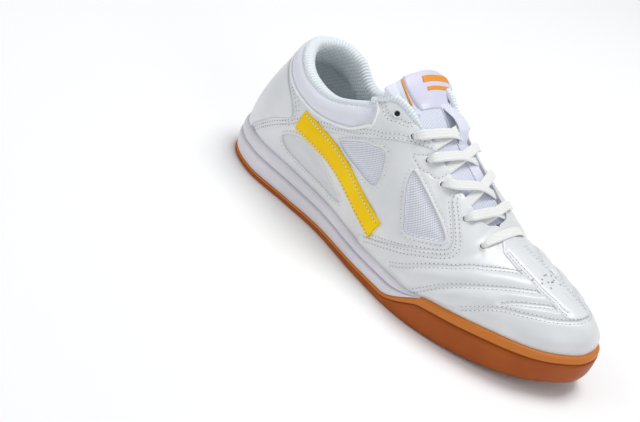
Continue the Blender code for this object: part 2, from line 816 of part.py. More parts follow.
def build_upper(look, folder, cutters):
    """Hollow leather shell: rib grid, thickened inward, then cut."""
    columns = upper_columns()
    count = len(columns)
    rows = []
    foot, end, outward, handles, slope = rib_ends(columns)
    lap = foot.copy()
    lap[:, 2] = footbed(foot[:, 0]) + GAP + FACET_ROOM / 2
    rows.append(lap)
    for row in range(RIB_ROWS + 1):
        share = row / RIB_ROWS
        rows.append(surface(columns, np.full(count, share)))
    mesh_faces = ring_faces(len(rows), count)
    shell = add_object("upper", np.concatenate(rows), mesh_faces, look, folder)
    make_face_out(shell)
    wall = shell.modifiers.new("Wall", "SOLIDIFY")
    wall.thickness = UPPER_WALL
    wall.offset = -1
    wall.use_even_offset = True
    wall.use_rim = True
    apply_modifiers(shell)
    boolean(shell, build_collar_space(cutters), "DIFFERENCE")
    for side in (1, -1):
        for name, border in WINDOWS.items():
            places = border if side == 1 else mirrored(border)
            cutter = disc_cutter(name, rounded(places), WINDOW_DEPTH, cutters)
            boolean(shell, cutter, "DIFFERENCE")
    for side in (1, -1):
        for valley in RIDGE_VALLEYS:
            places = valley if side == 1 else mirrored(valley)
            boolean(shell, valley_cutter(places, cutters), "DIFFERENCE")
    whole_valley = TOE_VALLEY + mirrored(TOE_VALLEY[-2::-1])
    boolean(shell, valley_cutter(whole_valley, cutters), "DIFFERENCE")
    bores = build_eyelet_bores(cutters)
    boolean(shell, bores, "DIFFERENCE")
    return shell


def aside(number, height, direction, distance):
    """Rib place moved a distance over the surface, square to a path."""
    step = 0.02
    along = (surface(number + step, height) - surface(number - step, height)) / (2 * step)
    low = np.clip(height - step, 0, 1)
    high = np.clip(height + step, 0, 1)
    up = (surface(number, high) - surface(number, low)) / (high - low)[:, None]
    side = normal(number, height)
    path = along * direction[:, :1] + up * direction[:, 1:]
    path /= np.linalg.norm(path, axis=1)[:, None]
    square = np.cross(side, path) * distance
    moved = []
    for column in range(len(number)):
        frame = np.stack([along[column], up[column]], axis=1)
        change = np.linalg.lstsq(frame, square[column], rcond=None)[0]
        moved.append((number[column] + change[0], np.clip(height[column] + change[1], 0, 1)))
    return np.array(moved)


def path_places(places, steps):
    """Rib places spread along a smooth path, with the path's direction."""
    position = np.linspace(0, len(places) - 1, steps)
    path = spline(places, position, closed=False)
    return path[:, 0], path[:, 1], np.gradient(path, axis=0)


def valley_cutter(places, folder):
    """Wedge that cuts one stitched valley into the leather."""
    number, height, direction = path_places(places, len(places) + 2)
    left = aside(number, height, direction, VALLEY_WIDTH / 2)
    right = aside(number, height, direction, -VALLEY_WIDTH / 2)
    rows = [
        raised(left[:, 0], left[:, 1], VALLEY_DEPTH),
        raised(right[:, 0], right[:, 1], VALLEY_DEPTH),
        raised(number, height, -VALLEY_DEPTH),
    ]
    sections = []
    for column in range(len(number)):
        sections.append(np.array([row[column] for row in rows]))
    return loft("valley", sections, None, folder)


def build_side_band(name, side, look, folder):
    """Plain stitched band of one width down the quarter."""
    places = SIDE_BAND if side > 0 else mirrored(SIDE_BAND)
    number, height, direction = path_places(places, 15)
    grid = []
    for share in (-0.5, 0.0, 0.5):
        grid.append(aside(number, height, direction, share * BAND_WIDTH))
    lift = GAP + FACET_ROOM / 2
    return patch(name, np.array(grid), lift, lift + OVERLAY_THICKNESS, look, folder)


def build_heel_counter(look, folder):
    """Leather overlay round the heel below the collar."""
    columns = upper_columns()
    columns = np.where(columns > RIB_COUNT / 2, columns - RIB_COUNT, columns)
    reach = COUNTER_EDGE[-1][0]
    numbers = np.sort(columns[np.abs(columns) <= reach])
    edge = hermite_table(np.abs(numbers), COUNTER_EDGE)
    grid = []
    for share in np.linspace(0, 1, 7):
        height = COUNTER_FOOT + (edge - COUNTER_FOOT) * share
        grid.append(np.stack([numbers, height], axis=1))
    lift = GAP + FACET_ROOM / 4
    return patch("heel_counter", np.array(grid), lift, lift + OVERLAY_THICKNESS, look, folder)


def make_face_out(shell):
    """Turn every face outward, judged at the toe end of the shell."""
    mesh = shell.data
    far = max(mesh.polygons, key=lambda face: face.center.x)
    if far.normal.x < 0:
        mesh.flip_normals()


def eyelet_places(side):
    """Rib number and height of each eyelet on one side of the foot."""
    places = []
    for rib in EYELET_RIBS:
        inset = EYELET_INSET
        if rib > CREST_FIRST - 1:
            inset = 2.5 * EYELET_INSET
        number = rib if side > 0 else RIB_COUNT - rib
        share = height_below_end([number], inset)[0]
        places.append((number, share))
    return places


def build_eyelet_bores(folder):
    """Round cutters that stand across the wall at each eyelet."""
    points = []
    faces = []
    for side in (1, -1):
        for number, share in eyelet_places(side):
            middle = surface([number], [share])[0]
            axis = Vector(normal([number], [share])[0])
            across = axis.orthogonal().normalized()
            other = axis.cross(across)
            first = len(points)
            for level in (-4 * UPPER_WALL, 3 * UPPER_WALL):
                for corner in range(6):
                    angle = math.radians(60 * corner)
                    rim = across * math.cos(angle) + other * math.sin(angle)
                    points.append(Vector(middle) + axis * level + rim * EYELET_BORE / 2)
            faces.append(tuple(range(first, first + 6)))
            faces.append(tuple(range(first + 6, first + 12)))
            for corner in range(6):
                after = (corner + 1) % 6
                faces.append((first + corner, first + after, first + 6 + after, first + 6 + corner))
    return add_object("eyelet_bores", points, faces, None, folder)


def build_collar(look, folder):
    """Padded roll round the ankle opening, tucked inside the leather."""
    numbers = collar_columns()
    seam = collar_seam(numbers)
    sections = []
    rows = []
    for kind, down, inward in COLLAR_SECTION:
        if kind == "seam":
            drop = seam + down * COLLAR_THICKNESS - GAP
            depth = inward * COLLAR_THICKNESS
        elif kind == "tuck":
            drop = seam + COLLAR_TUCK
            depth = inward * COLLAR_THICKNESS
        else:
            drop = np.full(len(numbers), down * COLLAR_THICKNESS)
            depth = inward * COLLAR_THICKNESS
        share = height_below_end(numbers, drop)
        rows.append(raised(numbers, share, -depth))
    clear = UPPER_WALL + GAP + FACET_ROOM / 3
    share = height_below_end(numbers, seam + COLLAR_TUCK)
    rows.append(raised(numbers, share, -clear))
    share = height_below_end(numbers, seam - GAP * 1.5)
    rows.append(raised(numbers, share, -clear))
    for column in range(len(numbers)):
        sections.append(np.array([row[column] for row in rows]))
    return loft("collar", sections, look, folder)


def tongue_sections():
    """Upper face of the tongue: rows of seven points from outer to inner side."""
    rows = []
    clear = UPPER_WALL + GAP + FACET_ROOM
    for rib, lift, under in TONGUE:
        ribs = np.array([rib, RIB_COUNT - rib])
        edge = raised(ribs, np.ones(2), -clear)
        side_share = height_below_end(ribs, under * BALL_WIDTH)
        side = raised(ribs, side_share, -clear - TONGUE_SINK)
        near_share = height_below_end(ribs, under * BALL_WIDTH / 2)
        near = raised(ribs, near_share, -clear - TONGUE_SINK / 2)
        middle = edge.mean(axis=0) + np.array([0, 0, lift * BALL_WIDTH])
        rows.append(np.array([side[0], near[0], edge[0], middle, edge[1], near[1], side[1]]))
    for row, (x, z, y, half, drop, back) in enumerate(TONGUE_TOP):
        points = []
        free = row / (len(TONGUE_TOP) - 1)
        outward = np.array(LACED_COLUMNS) * (1 - free) + np.array(FREE_COLUMNS) * free
        for share in (*-outward[::-1], 0, *outward):
            points.append((
                x * LENGTH - back * LENGTH * share * share,
                (y + half * share) * BALL_WIDTH,
                z * INSTEP_HEIGHT - drop * BALL_WIDTH * share * share,
            ))
        rows.append(np.array(points))
    return rows


def thick_sheet(name, rows, thickness, look, folder):
    """Closed sheet below rows of points, thinner at its two side edges."""
    rows = np.array(rows)
    along = np.gradient(rows, axis=0)
    across = np.gradient(rows, axis=1)
    side = np.cross(across, along)
    side /= np.linalg.norm(side, axis=2)[:, :, None]
    if side[:, :, 2].mean() < 0:
        side = -side
    columns = rows.shape[1]
    taper = np.ones(columns)
    taper[[0, -1]] = 0.35
    taper[[1, -2]] = 0.65
    below = rows - side * (thickness * taper)[None, :, None]
    sections = []
    for top, bottom in zip(rows, below):
        sections.append(np.concatenate([top, bottom[::-1]]))
    return loft(name, sections, look, folder)


def between(rows, position, across):
    """Point on the tongue's face at a decimal row and a share across."""
    rows = np.array(rows)
    line = spline(rows.reshape(len(rows), -1), [position], closed=False).reshape(-1, 3)
    column = (across + 1) / 2 * (len(line) - 1)
    return spline(line, [column], closed=False)[0]


def tongue_strip(name, rows, place, lift, thickness, look, folder):
    """Strip that lies a little above the tongue's face."""
    first, back, half, steps = place
    top = []
    for position in np.linspace(first, len(rows) - 1 - back, steps):
        line = []
        for across in np.linspace(-half, half, 5):
            point = between(rows, position, across)
            ahead = between(rows, min(position + 0.05, len(rows) - 1), across)
            behind = between(rows, max(position - 0.05, 0), across)
            left = between(rows, position, across - 0.05)
            right = between(rows, position, across + 0.05)
            side = np.cross(right - left, ahead - behind)
            side /= np.linalg.norm(side)
            if side[2] < 0:
                side = -side
            line.append(point + side * (lift + thickness))
        top.append(line)
    return thick_sheet(name, top, thickness, look, folder)


def strap(name, points, sides, look, folder):
    """Flat lace along points, lying square to the given upward sides."""
    points = np.array(points)
    sides = np.array(sides)
    sides /= np.linalg.norm(sides, axis=1)[:, None]
    along = np.gradient(points, axis=0)
    along /= np.linalg.norm(along, axis=1)[:, None]
    across = np.cross(sides, along)
    across /= np.linalg.norm(across, axis=1)[:, None]
    sides = np.cross(along, across)
    half = LACE_WIDTH / 2
    flat = half * LACE_FLAT
    sections = []
    for point, side, cross in zip(points, sides, across):
        top = point + side * LACE_THICKNESS
        edge = point + side * LACE_THICKNESS / 2
        sections.append(np.array([
            edge - cross * half,
            point - cross * flat,
            point + cross * flat,
            edge + cross * half,
            top + cross * flat,
            top - cross * flat,
        ]))
    return loft(name, sections, look, folder)


def lace_run(name, start, across_rib, extra, look, folder):
    """Lace from one eyelet over the throat to just inside the far edge."""
    number, share = start
    edge_rib = number + LACE_LEAD * (RIB_COUNT - across_rib - number)
    near_edge = raised([edge_rib], [1.0], LACE_RISE)[0]
    near_side = normal([edge_rib], [1.0])[0]
    begin = raised([number], [share], LACE_RISE)[0]
    begin_side = normal([number], [share])[0]
    far = surface([across_rib], [1.0])[0]
    far_side = normal([across_rib], [1.0])[0]
    inward = near_edge - far
    inward /= np.linalg.norm(inward)
    drop = UPPER_WALL * 0.80
    finish = far + inward * LACE_SETBACK - far_side * drop
    up = near_side + far_side
    up /= np.linalg.norm(up)
    middle = (near_edge + finish) / 2 + up * (LACE_ARCH + extra)
    points = [begin, near_edge, None, middle, None, finish]
    sides = [begin_side, near_side + up, up, up, up, far_side + up]
    points[2] = (points[1] + middle) / 2 + up * (LACE_ARCH + extra) / 3
    points[4] = (finish + middle) / 2 + up * (LACE_ARCH + extra) / 3
    return strap(name, points, sides, look, folder)


def build_laces(look, folder, cutters):
    """Crossings over the throat and the straight bar over the lowest eyelets."""
    outer = eyelet_places(1)
    inner = eyelet_places(-1)
    for level in range(1, len(EYELET_RIBS) - 1):
        step = EYELET_RIBS[level + 1] - EYELET_RIBS[level]
        gap_rib = min(EYELET_RIBS[level] + LACE_SLANT * step, CREST_FIRST - LACE_END_RIB)
        far_rib = RIB_COUNT - gap_rib
        name = "lace_crossing_" + str(level)
        under = lace_run(name, inner[level], gap_rib, 0.0, look, folder)
        over = lace_run(name + "_over", outer[level], far_rib, LACE_THICKNESS / 2, None, cutters)
        boolean(under, over, "UNION")
    number, share = outer[-1]
    inner_number, inner_share = inner[-1]
    crest = (number + CREST_FIRST) / 2 + BAR_RIB
    far_crest = RIB_COUNT - crest
    places = [
        (number, share),
        ((number + crest) / 2, (1 + share) / 2),
        (crest, BAR_SHARE),
        (crest, 1.0),
        (far_crest, BAR_SHARE),
        ((far_crest + inner_number) / 2, (1 + inner_share) / 2),
        (inner_number, inner_share),
    ]
    ribs, shares = np.array(places).T
    points = raised(ribs, shares, BAR_CLEAR)
    sides = normal(ribs, np.minimum(shares, 0.98))
    sides[3] = (sides[2] + sides[4]) / 2
    points[3] = surface([crest], [1.0])[0] + sides[3] * BAR_CLEAR
    strap("lace_bar", points, sides, look, folder)


def centre_at_origin(folder):
    """Move every piece so that the origin lies under the middle of the shoe."""
    numbers = np.arange(OUTLINE_POINTS) * len(OUTLINE) / OUTLINE_POINTS
    plan, outward = outline_at(numbers)
    middle = (plan.min(axis=0) + plan.max(axis=0)) / 2
    for item in folder.objects:
        item.data.transform(Matrix.Translation((-middle[0], -middle[1], 0)))


def main():
    """Build every piece."""
    for item in list(bpy.data.objects):
        bpy.data.objects.remove(item, do_unlink=True)
    folder = bpy.data.collections.new("indoor_soccer_shoe")
    bpy.context.scene.collection.children.link(folder)
    cutters = bpy.data.collections.new("cutters")
    bpy.context.scene.collection.children.link(cutters)
    gum = material("gum_rubber", (0.45, 0.16, 0.04), 0.45)
    foam = material("white_foam", (0.80, 0.79, 0.83), 0.55)
    leather = material("white_leather", (0.82, 0.83, 0.84), 0.38, 0.2)
    textile = material("pale_textile", (0.76, 0.76, 0.86), 0.85)
    mesh = material("tongue_mesh", (0.76, 0.78, 0.87), 0.85)
    satin = material("label_satin", (0.74, 0.73, 0.88), 0.35)
    ribbon = material("keeper_ribbon", (0.78, 0.80, 0.88), 0.55)
    lace = material("white_lace", (0.84, 0.85, 0.85), 0.75)
    yellow = material("yellow_leather", (0.85, 0.62, 0.02), 0.40, 0.2)
    sock = material("insole_textile", (0.70, 0.74, 0.76), 0.90)
    build_outsole(gum, folder, cutters)
    build_midsole(foam, folder, cutters)
    build_insole(sock, folder)
    build_upper(leather, folder, cutters)
    build_collar(textile, folder)
    build_heel_counter(leather, folder)
    build_side_band("side_band_outer", 1, yellow, folder)
    build_side_band("side_band_inner", -1, yellow, folder)
    rows = tongue_sections()
    thick_sheet("tongue", rows, TONGUE_THICKNESS, mesh, folder)
    label_lift = GAP + FACET_ROOM
    keeper_lift = GAP + FACET_ROOM / 2
    tongue_strip("tongue_label", rows, LABEL_PLACE, label_lift, LABEL_THICKNESS, satin, folder)
    tongue_strip("lace_keeper", rows, KEEPER_PLACE, keeper_lift, KEEPER_THICKNESS, ribbon, folder)
    build_laces(lace, folder, cutters)
    centre_at_origin(folder)


main()
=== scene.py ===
# Looks of the indoor soccer shoe: leather, textile, seams, laces and sole,
# with the camera and lights of the photograph.
# Rib numbers run from the heel round the outer side to the toe and back along
# the inner side; heights run from 0 at the sole's edge to 1 at the rib's end.

import math
from functools import partial

import bmesh
import bpy
import numpy as np
from mathutils import Matrix, Vector


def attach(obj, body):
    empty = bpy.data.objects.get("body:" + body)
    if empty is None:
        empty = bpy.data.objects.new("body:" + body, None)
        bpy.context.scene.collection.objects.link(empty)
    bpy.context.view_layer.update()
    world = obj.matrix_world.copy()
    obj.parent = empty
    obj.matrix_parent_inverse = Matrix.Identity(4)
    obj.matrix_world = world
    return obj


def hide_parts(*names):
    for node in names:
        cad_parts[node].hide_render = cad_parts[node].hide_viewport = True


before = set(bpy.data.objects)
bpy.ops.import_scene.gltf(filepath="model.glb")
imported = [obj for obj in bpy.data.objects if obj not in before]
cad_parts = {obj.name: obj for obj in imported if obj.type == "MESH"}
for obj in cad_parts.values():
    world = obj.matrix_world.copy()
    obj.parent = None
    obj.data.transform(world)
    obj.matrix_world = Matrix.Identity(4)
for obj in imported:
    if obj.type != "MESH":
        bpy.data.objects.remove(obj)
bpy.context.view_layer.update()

# Driving sizes of the last and the sole, in metres
LENGTH = 0.292
BALL_WIDTH = 0.100
INSTEP_HEIGHT = 0.108
RIM_HEIGHT = 0.0245
GUM_HEIGHT = 0.0045
TOE_SPRING = 0.012
HEEL_ROUNDING = 0.0015
FOOT_INSET = 0.0041
RIM_LAP = 0.006
UPPER_WALL = 0.0020
MM = 0.001

# Sole outline seen from above, heel first and then the outer side.
# x is a share of LENGTH and y a share of BALL_WIDTH.
OUTLINE = [
    (0.000, 0.000), (0.033, -0.255), (0.123, -0.380), (0.247, -0.385), (0.363, -0.395),
    (0.514, -0.475), (0.664, -0.515), (0.808, -0.435), (0.918, -0.290), (0.981, -0.095),
    (1.000, 0.060), (0.984, 0.240), (0.908, 0.385), (0.801, 0.465), (0.692, 0.470),
    (0.548, 0.385), (0.404, 0.310), (0.253, 0.325), (0.123, 0.345), (0.031, 0.240),
]

# Height of the sole's rim above its own underside, shares of LENGTH and RIM_HEIGHT
RIM = [
    (0.00, 0.98), (0.14, 1.00), (0.27, 0.92), (0.38, 0.83), (0.48, 0.76), (0.58, 0.79),
    (0.65, 0.80), (0.70, 0.92), (0.77, 0.97), (0.84, 0.98), (0.90, 0.92), (0.96, 0.83),
    (1.00, 0.80),
]

# Thickness of the gum under the foam, as a share of GUM_HEIGHT
GUM = [(0.00, 0.90), (0.30, 0.95), (0.48, 1.20), (0.60, 1.45), (1.00, 1.50)]
GUM_CLIMB_START = 0.590
GUM_CLIMB_END = 0.690
SPRING_START = 0.59
ROUNDING_END = 0.06

# Ribs: outline row of the foot; x, y, z of the end as shares of LENGTH,
# BALL_WIDTH and INSTEP_HEIGHT; handles rise, bulge and reach; droop
RIBS = np.array([
    (0.00, 0.082, 0.000, 0.875, 0.24, 0.005, 0.26, 0.93),
    (1.00, 0.113, -0.170, 0.843, 0.24, 0.000, 0.26, 0.93),
    (2.00, 0.171, -0.265, 0.787, 0.22, 0.020, 0.24, 0.92),
    (2.90, 0.250, -0.280, 0.778, 0.20, 0.040, 0.22, 0.85),
    (3.80, 0.346, -0.270, 0.907, 0.22, 0.040, 0.30, 0.80),
    (4.30, 0.404, -0.240, 1.000, 0.22, 0.040, 0.36, 0.75),
    (4.85, 0.486, -0.175, 0.884, 0.20, 0.040, 0.34, 0.60),
    (5.30, 0.548, -0.160, 0.796, 0.19, 0.040, 0.30, 0.50),
    (5.75, 0.616, -0.150, 0.708, 0.16, 0.040, 0.26, 0.40),
    (6.20, 0.678, -0.110, 0.625, 0.14, 0.040, 0.24, 0.25),
    (6.60, 0.695, 0.005, 0.602, 0.13, 0.040, 0.30, 0.00),
    (7.05, 0.743, 0.015, 0.560, 0.12, 0.030, 0.28, 0.00),
    (7.50, 0.798, 0.030, 0.528, 0.12, 0.030, 0.26, 0.00),
    (8.10, 0.853, 0.045, 0.502, 0.11, 0.020, 0.22, 0.00),
    (8.90, 0.901, 0.060, 0.480, 0.11, 0.015, 0.16, 0.00),
    (10.00, 0.935, 0.070, 0.456, 0.11, 0.015, 0.12, 0.00),
    (10.90, 0.901, 0.060, 0.480, 0.11, 0.015, 0.16, 0.00),
    (11.70, 0.853, 0.045, 0.502, 0.12, 0.020, 0.21, 0.00),
    (12.40, 0.798, 0.030, 0.528, 0.12, 0.030, 0.24, 0.00),
    (13.00, 0.743, 0.015, 0.560, 0.13, 0.030, 0.27, 0.00),
    (13.45, 0.695, 0.005, 0.602, 0.14, 0.030, 0.28, 0.00),
    (13.85, 0.678, 0.120, 0.625, 0.15, 0.030, 0.22, 0.25),
    (14.30, 0.616, 0.150, 0.708, 0.17, 0.030, 0.24, 0.40),
    (14.75, 0.548, 0.160, 0.796, 0.19, 0.030, 0.28, 0.50),
    (15.20, 0.486, 0.175, 0.884, 0.21, 0.030, 0.32, 0.60),
    (15.75, 0.404, 0.230, 0.991, 0.23, 0.030, 0.34, 0.75),
    (16.25, 0.339, 0.262, 0.868, 0.23, 0.030, 0.28, 0.80),
    (17.10, 0.240, 0.250, 0.722, 0.22, 0.030, 0.22, 0.85),
    (18.00, 0.171, 0.250, 0.832, 0.23, 0.020, 0.24, 0.92),
    (19.00, 0.113, 0.188, 0.875, 0.26, 0.000, 0.26, 0.93),
])
RIB_COUNT = len(RIBS)
CREST_FIRST = 10
CREST_MIDDLE = 15
CREST_LAST = 20

# Collar: seam depth by rib from the heel as a share of INSTEP_HEIGHT, and its
# front edge over the eyelet piece
COLLAR_DEPTH = [(0.0, 0.150), (1.0, 0.155), (2.0, 0.150), (3.0, 0.165), (4.0, 0.225), (4.8, 0.20)]
COLLAR_EDGE_RIB = 4.74
COLLAR_THICKNESS = 0.0085
COLLAR_TUCK = 0.010
COLLAR_FRONT = [(4.74, 0.83), (4.60, 0.88), (4.35, 0.94), (4.12, 1.01)]
PIPING_END = 0.975
ROLL_RADIUS = 0.0023
ROLL_SIDES = 14

# Tongue: rib passed, lift of the middle and reach below the facing
TONGUE = [
    (9.40, -0.010, 0.090), (9.00, -0.005, 0.120), (8.50, 0.000, 0.120), (8.00, 0.004, 0.120),
    (7.50, 0.008, 0.120), (7.00, 0.012, 0.120), (6.50, 0.016, 0.120), (6.00, 0.018, 0.095),
    (5.50, 0.020, 0.055),
]
TONGUE_TOP = [
    (0.424, 0.984, 0.020, 0.230, 0.065, 0.004, 0.010),
    (0.406, 1.018, 0.034, 0.280, 0.060, 0.005, 0.030),
    (0.390, 1.048, 0.046, 0.325, 0.055, 0.006, 0.060),
    (0.375, 1.070, 0.056, 0.350, 0.060, 0.005, 0.085),
    (0.364, 1.080, 0.056, 0.335, 0.075, 0.003, 0.090),
]
TONGUE_CLEAR = 0.0029
KEEPER_LIFTS = [1.0, 3.6, 6.6, 7.4, 6.6, 3.6, 1.0]
TONGUE_THICKNESS = 0.0055

EYELET_RIBS = [5.15, 5.75, 6.50, 7.35, 8.50, 9.85]
EYELET_INSET = 0.0085
LACE_WIDTH = 0.0065
LACE_THICKNESS = 0.0016
LACE_LEAD = 0.40
LUG_SIZE = 0.0145
LUG_CHANNEL = 0.0045
TREAD_DEPTH = 0.0018
TREAD_BORDER = 0.0045

# Windows in the quarter, plain at the rear and mesh in front: rib and height, going round each
WINDOWS = [
    [(2.50, 0.23), (2.66, 0.32), (3.00, 0.39), (3.30, 0.38), (3.70, 0.28), (4.20, 0.20),
     (4.72, 0.13), (4.40, 0.10), (3.70, 0.11), (3.10, 0.13), (2.70, 0.16)],
    [(3.98, 0.57), (4.17, 0.61), (4.60, 0.64), (5.10, 0.67), (5.40, 0.70), (5.52, 0.67),
     (5.62, 0.60), (5.66, 0.51), (5.48, 0.47), (5.00, 0.47), (4.45, 0.50)],
    [(6.34, 0.77), (6.50, 0.78), (6.90, 0.765), (7.40, 0.74), (8.00, 0.70), (8.38, 0.65),
     (8.44, 0.60), (8.00, 0.52), (7.57, 0.45), (7.26, 0.425), (7.05, 0.48), (6.75, 0.58),
     (6.45, 0.68)],
]

SIDE_BAND = [
    (2.75, 0.555), (3.25, 0.520), (3.80, 0.455), (4.40, 0.385), (5.00, 0.325), (5.60, 0.275),
    (6.25, 0.225),
]
BAND_WIDTH = 0.015

# Heel counter border, from the sole up its front edge and back over the heel
COUNTER = [
    (1.38, 0.02), (1.71, 0.16), (2.03, 0.31), (2.29, 0.41), (2.46, 0.47), (2.49, 0.52),
    (2.44, 0.57), (2.14, 0.66), (1.79, 0.70), (1.34, 0.735), (0.70, 0.75), (0.00, 0.76),
]

# Panel edges; the raised side lies to the left of the way each runs
FACING_EDGE = [
    (2.52, 0.50), (2.90, 0.555), (3.33, 0.59), (4.05, 0.65), (4.95, 0.70), (5.60, 0.83),
    (6.02, 0.92), (6.58, 1.00),
]
VAMP_EDGE = [
    (5.80, 0.02), (5.80, 0.08), (6.21, 0.13), (6.85, 0.22), (7.47, 0.32), (8.35, 0.49),
    (8.72, 0.57), (8.76, 0.62), (8.64, 0.69), (8.27, 0.79), (7.92, 0.87), (7.79, 0.92),
    (7.83, 0.99),
]

# Stitched rows: places along each, number of rows and which side the others lie
STITCHED = [
    ([(1.73, 0.08), (2.16, 0.26), (2.60, 0.45), (2.85, 0.54), (3.24, 0.62), (3.59, 0.65),
      (4.00, 0.68), (4.50, 0.70), (5.15, 0.75), (5.56, 0.84), (5.97, 0.92), (6.38, 0.985)], 2),
    ([(5.97, 0.05), (6.38, 0.11), (6.88, 0.17), (7.44, 0.25), (7.92, 0.34), (8.37, 0.42),
      (8.77, 0.49), (9.00, 0.55), (9.05, 0.62), (8.94, 0.69), (8.61, 0.78), (8.27, 0.86),
      (8.01, 0.91), (7.92, 0.95), (7.96, 0.985)], 3),
    ([(4.28, 0.98), (4.80, 0.88), (5.06, 0.86), (5.24, 0.88), (5.39, 0.90), (5.56, 0.93),
      (5.62, 0.985)], 2),
    ([(6.66, 0.985), (6.43, 0.94), (6.17, 0.88), (6.02, 0.845), (6.28, 0.83), (6.53, 0.83),
      (6.79, 0.86), (7.10, 0.89), (7.25, 0.985)], 1),
]
RIDGE_ROWS = [
    [(7.27, 0.08), (7.79, 0.19), (8.38, 0.33), (8.92, 0.43), (9.59, 0.51), (10.26, 0.59),
     (10.91, 0.70), (11.47, 0.79), (11.73, 0.83)],
    [(8.46, 0.02), (8.79, 0.11), (9.24, 0.23), (9.70, 0.31), (10.17, 0.38), (10.60, 0.45),
     (11.23, 0.55), (11.93, 0.66), (12.50, 0.76)],
    [(11.45, 0.38), (11.67, 0.44), (11.97, 0.50), (12.44, 0.58), (12.94, 0.67), (13.24, 0.71)],
    [(10.24, 0.11), (10.67, 0.20), (11.14, 0.29), (11.64, 0.36), (11.97, 0.39), (12.29, 0.42),
     (12.75, 0.48), (13.22, 0.53), (13.72, 0.60), (14.11, 0.67), (14.91, 0.87)],
]
CENTRE_PANEL = [
    (10.40, 0.93), (10.73, 0.84), (10.97, 0.835), (11.40, 0.82), (11.82, 0.81), (12.23, 0.79),
    (12.47, 0.77), (12.84, 0.75), (13.18, 0.73), (13.37, 0.69), (13.74, 0.65),
]
CENTRE_FRONT = [(14.11, 0.70), (14.50, 0.80), (14.91, 0.90), (15.00, 0.92)]

PINHOLES = [
    (12.15, 0.835), (12.52, 0.875), (12.48, 0.92), (12.52, 0.985), (12.75, 0.95),
    (12.92, 0.91), (12.90, 0.99),
]

# Width of the soft textile edge round the top of the eyelet piece
BINDING = 0.0038
BINDING_LINE = [(4.05, 1.0), (4.60, 1.0), (5.20, 1.0), (5.75, 1.0)]

# Soft creases: path, depth and half width in millimetres
CREASES = [
    ([(7.10, 0.16), (7.80, 0.30), (8.50, 0.44), (9.30, 0.58), (9.90, 0.68)], 0.45, 3.2),
    ([(3.10, 0.655), (3.60, 0.69), (4.20, 0.72), (4.80, 0.75)], 0.40, 3.0),
    ([(1.05, 0.20), (1.35, 0.36), (1.60, 0.50), (1.75, 0.62)], 0.35, 4.0),
    ([(5.20, 0.30), (5.80, 0.34), (6.30, 0.42), (6.60, 0.50)], 0.30, 3.5),
    ([(6.70, 0.90), (7.20, 0.84), (7.70, 0.80)], 0.30, 2.6),
    ([(12.60, 0.25), (13.20, 0.30), (13.90, 0.36), (15.00, 0.40)], 0.20, 4.0),
]


def unit(vectors):
    """Vectors brought to length one."""
    return vectors / np.linalg.norm(vectors, axis=-1, keepdims=True)


def runs(points):
    """Length along a line up to each of its points."""
    return np.concatenate([[0], np.cumsum(np.linalg.norm(np.diff(points, axis=0), axis=1))])


def ease(value, low, high):
    """Smooth 0 to 1 as the value goes from low to high."""
    share = np.clip((value - low) / (high - low), 0, 1)
    return share * share * (3 - 2 * share)


def bell(distance, width):
    """1 on a line, falling softly to 0 a little past the width."""
    return np.exp(-((distance / width) ** 2))


def hermite(u, start, start_slope, end, end_slope):
    """Cubic from one value to another with a slope at each."""
    first = (2 * u**3 - 3 * u**2 + 1) * start + (u**3 - 2 * u**2 + u) * start_slope
    return first + (3 * u**2 - 2 * u**3) * end + (u**3 - u**2) * end_slope


def hermite_table(position, table):
    """Smooth value at each position through the rows (position, value)."""
    xs, ys = np.asarray(table, float).T
    position = np.clip(np.asarray(position, float), xs[0], xs[-1])
    row = np.clip(np.searchsorted(xs, position, side="right") - 1, 0, len(xs) - 2)
    width = xs[row + 1] - xs[row]
    slopes = np.gradient(ys, xs)
    u = (position - xs[row]) / width
    return hermite(u, ys[row], width * slopes[row], ys[row + 1], width * slopes[row + 1])


def spline(rows, position, closed=True):
    """Catmull-Rom curve through the rows at each decimal row number."""
    rows = np.asarray(rows, float)
    count = len(rows)
    position = np.atleast_1d(np.asarray(position, float))
    row = np.floor(position).astype(int)
    if not closed:
        row = np.clip(row, 0, count - 2)
    u = (position - row)[:, None]
    near = row + np.arange(-1, 3)[:, None]
    near = near % count if closed else np.clip(near, 0, count - 1)
    before, start, end, after = rows[near]
    return hermite(u, start, (end - before) / 2, end, (after - start) / 2)


def outline_at(number, inset=0.0):
    """Point of the sole outline in plan, moved inward."""
    scale = np.array([LENGTH, BALL_WIDTH])
    return spline(OUTLINE, number) * scale - outward_at(number) * np.atleast_1d(inset)[:, None]


def outward_at(number):
    """Outward side of the sole outline in plan."""
    number = np.atleast_1d(np.asarray(number, float))
    tangent = spline(OUTLINE, number + 0.01) - spline(OUTLINE, number - 0.01)
    tangent = unit(tangent * np.array([LENGTH, BALL_WIDTH]))
    return np.stack([tangent[:, 1], -tangent[:, 0]], axis=1)


def underside(x):
    """Height of the sole's underside: flat, with toe spring and a rounded heel."""
    share = np.asarray(x, float) / LENGTH
    spring = np.clip((share - SPRING_START) / (1 - SPRING_START), 0, 1.2) ** 2
    rounding = np.clip((ROUNDING_END - share) / ROUNDING_END, 0, 1) ** 2
    return TOE_SPRING * spring + HEEL_ROUNDING * rounding


def rim_top(x):
    """Height of the sole's upper edge."""
    return underside(x) + RIM_HEIGHT * hermite_table(np.asarray(x) / LENGTH, RIM)


def gum_floor(x):
    """Height of the top of the gum under the foam."""
    return underside(x) + GUM_HEIGHT * hermite_table(np.asarray(x) / LENGTH, GUM)


def gum_side_top(x):
    """Height of the gum at the side, which climbs to the rim at the forefoot."""
    return gum_floor(x) + (rim_top(x) - gum_floor(x)) * gum_climb(x)


def gum_climb(x):
    """Share of the gum's climb from the thin edge to the rim."""
    return ease(np.asarray(x, float) / LENGTH, GUM_CLIMB_START, GUM_CLIMB_END)


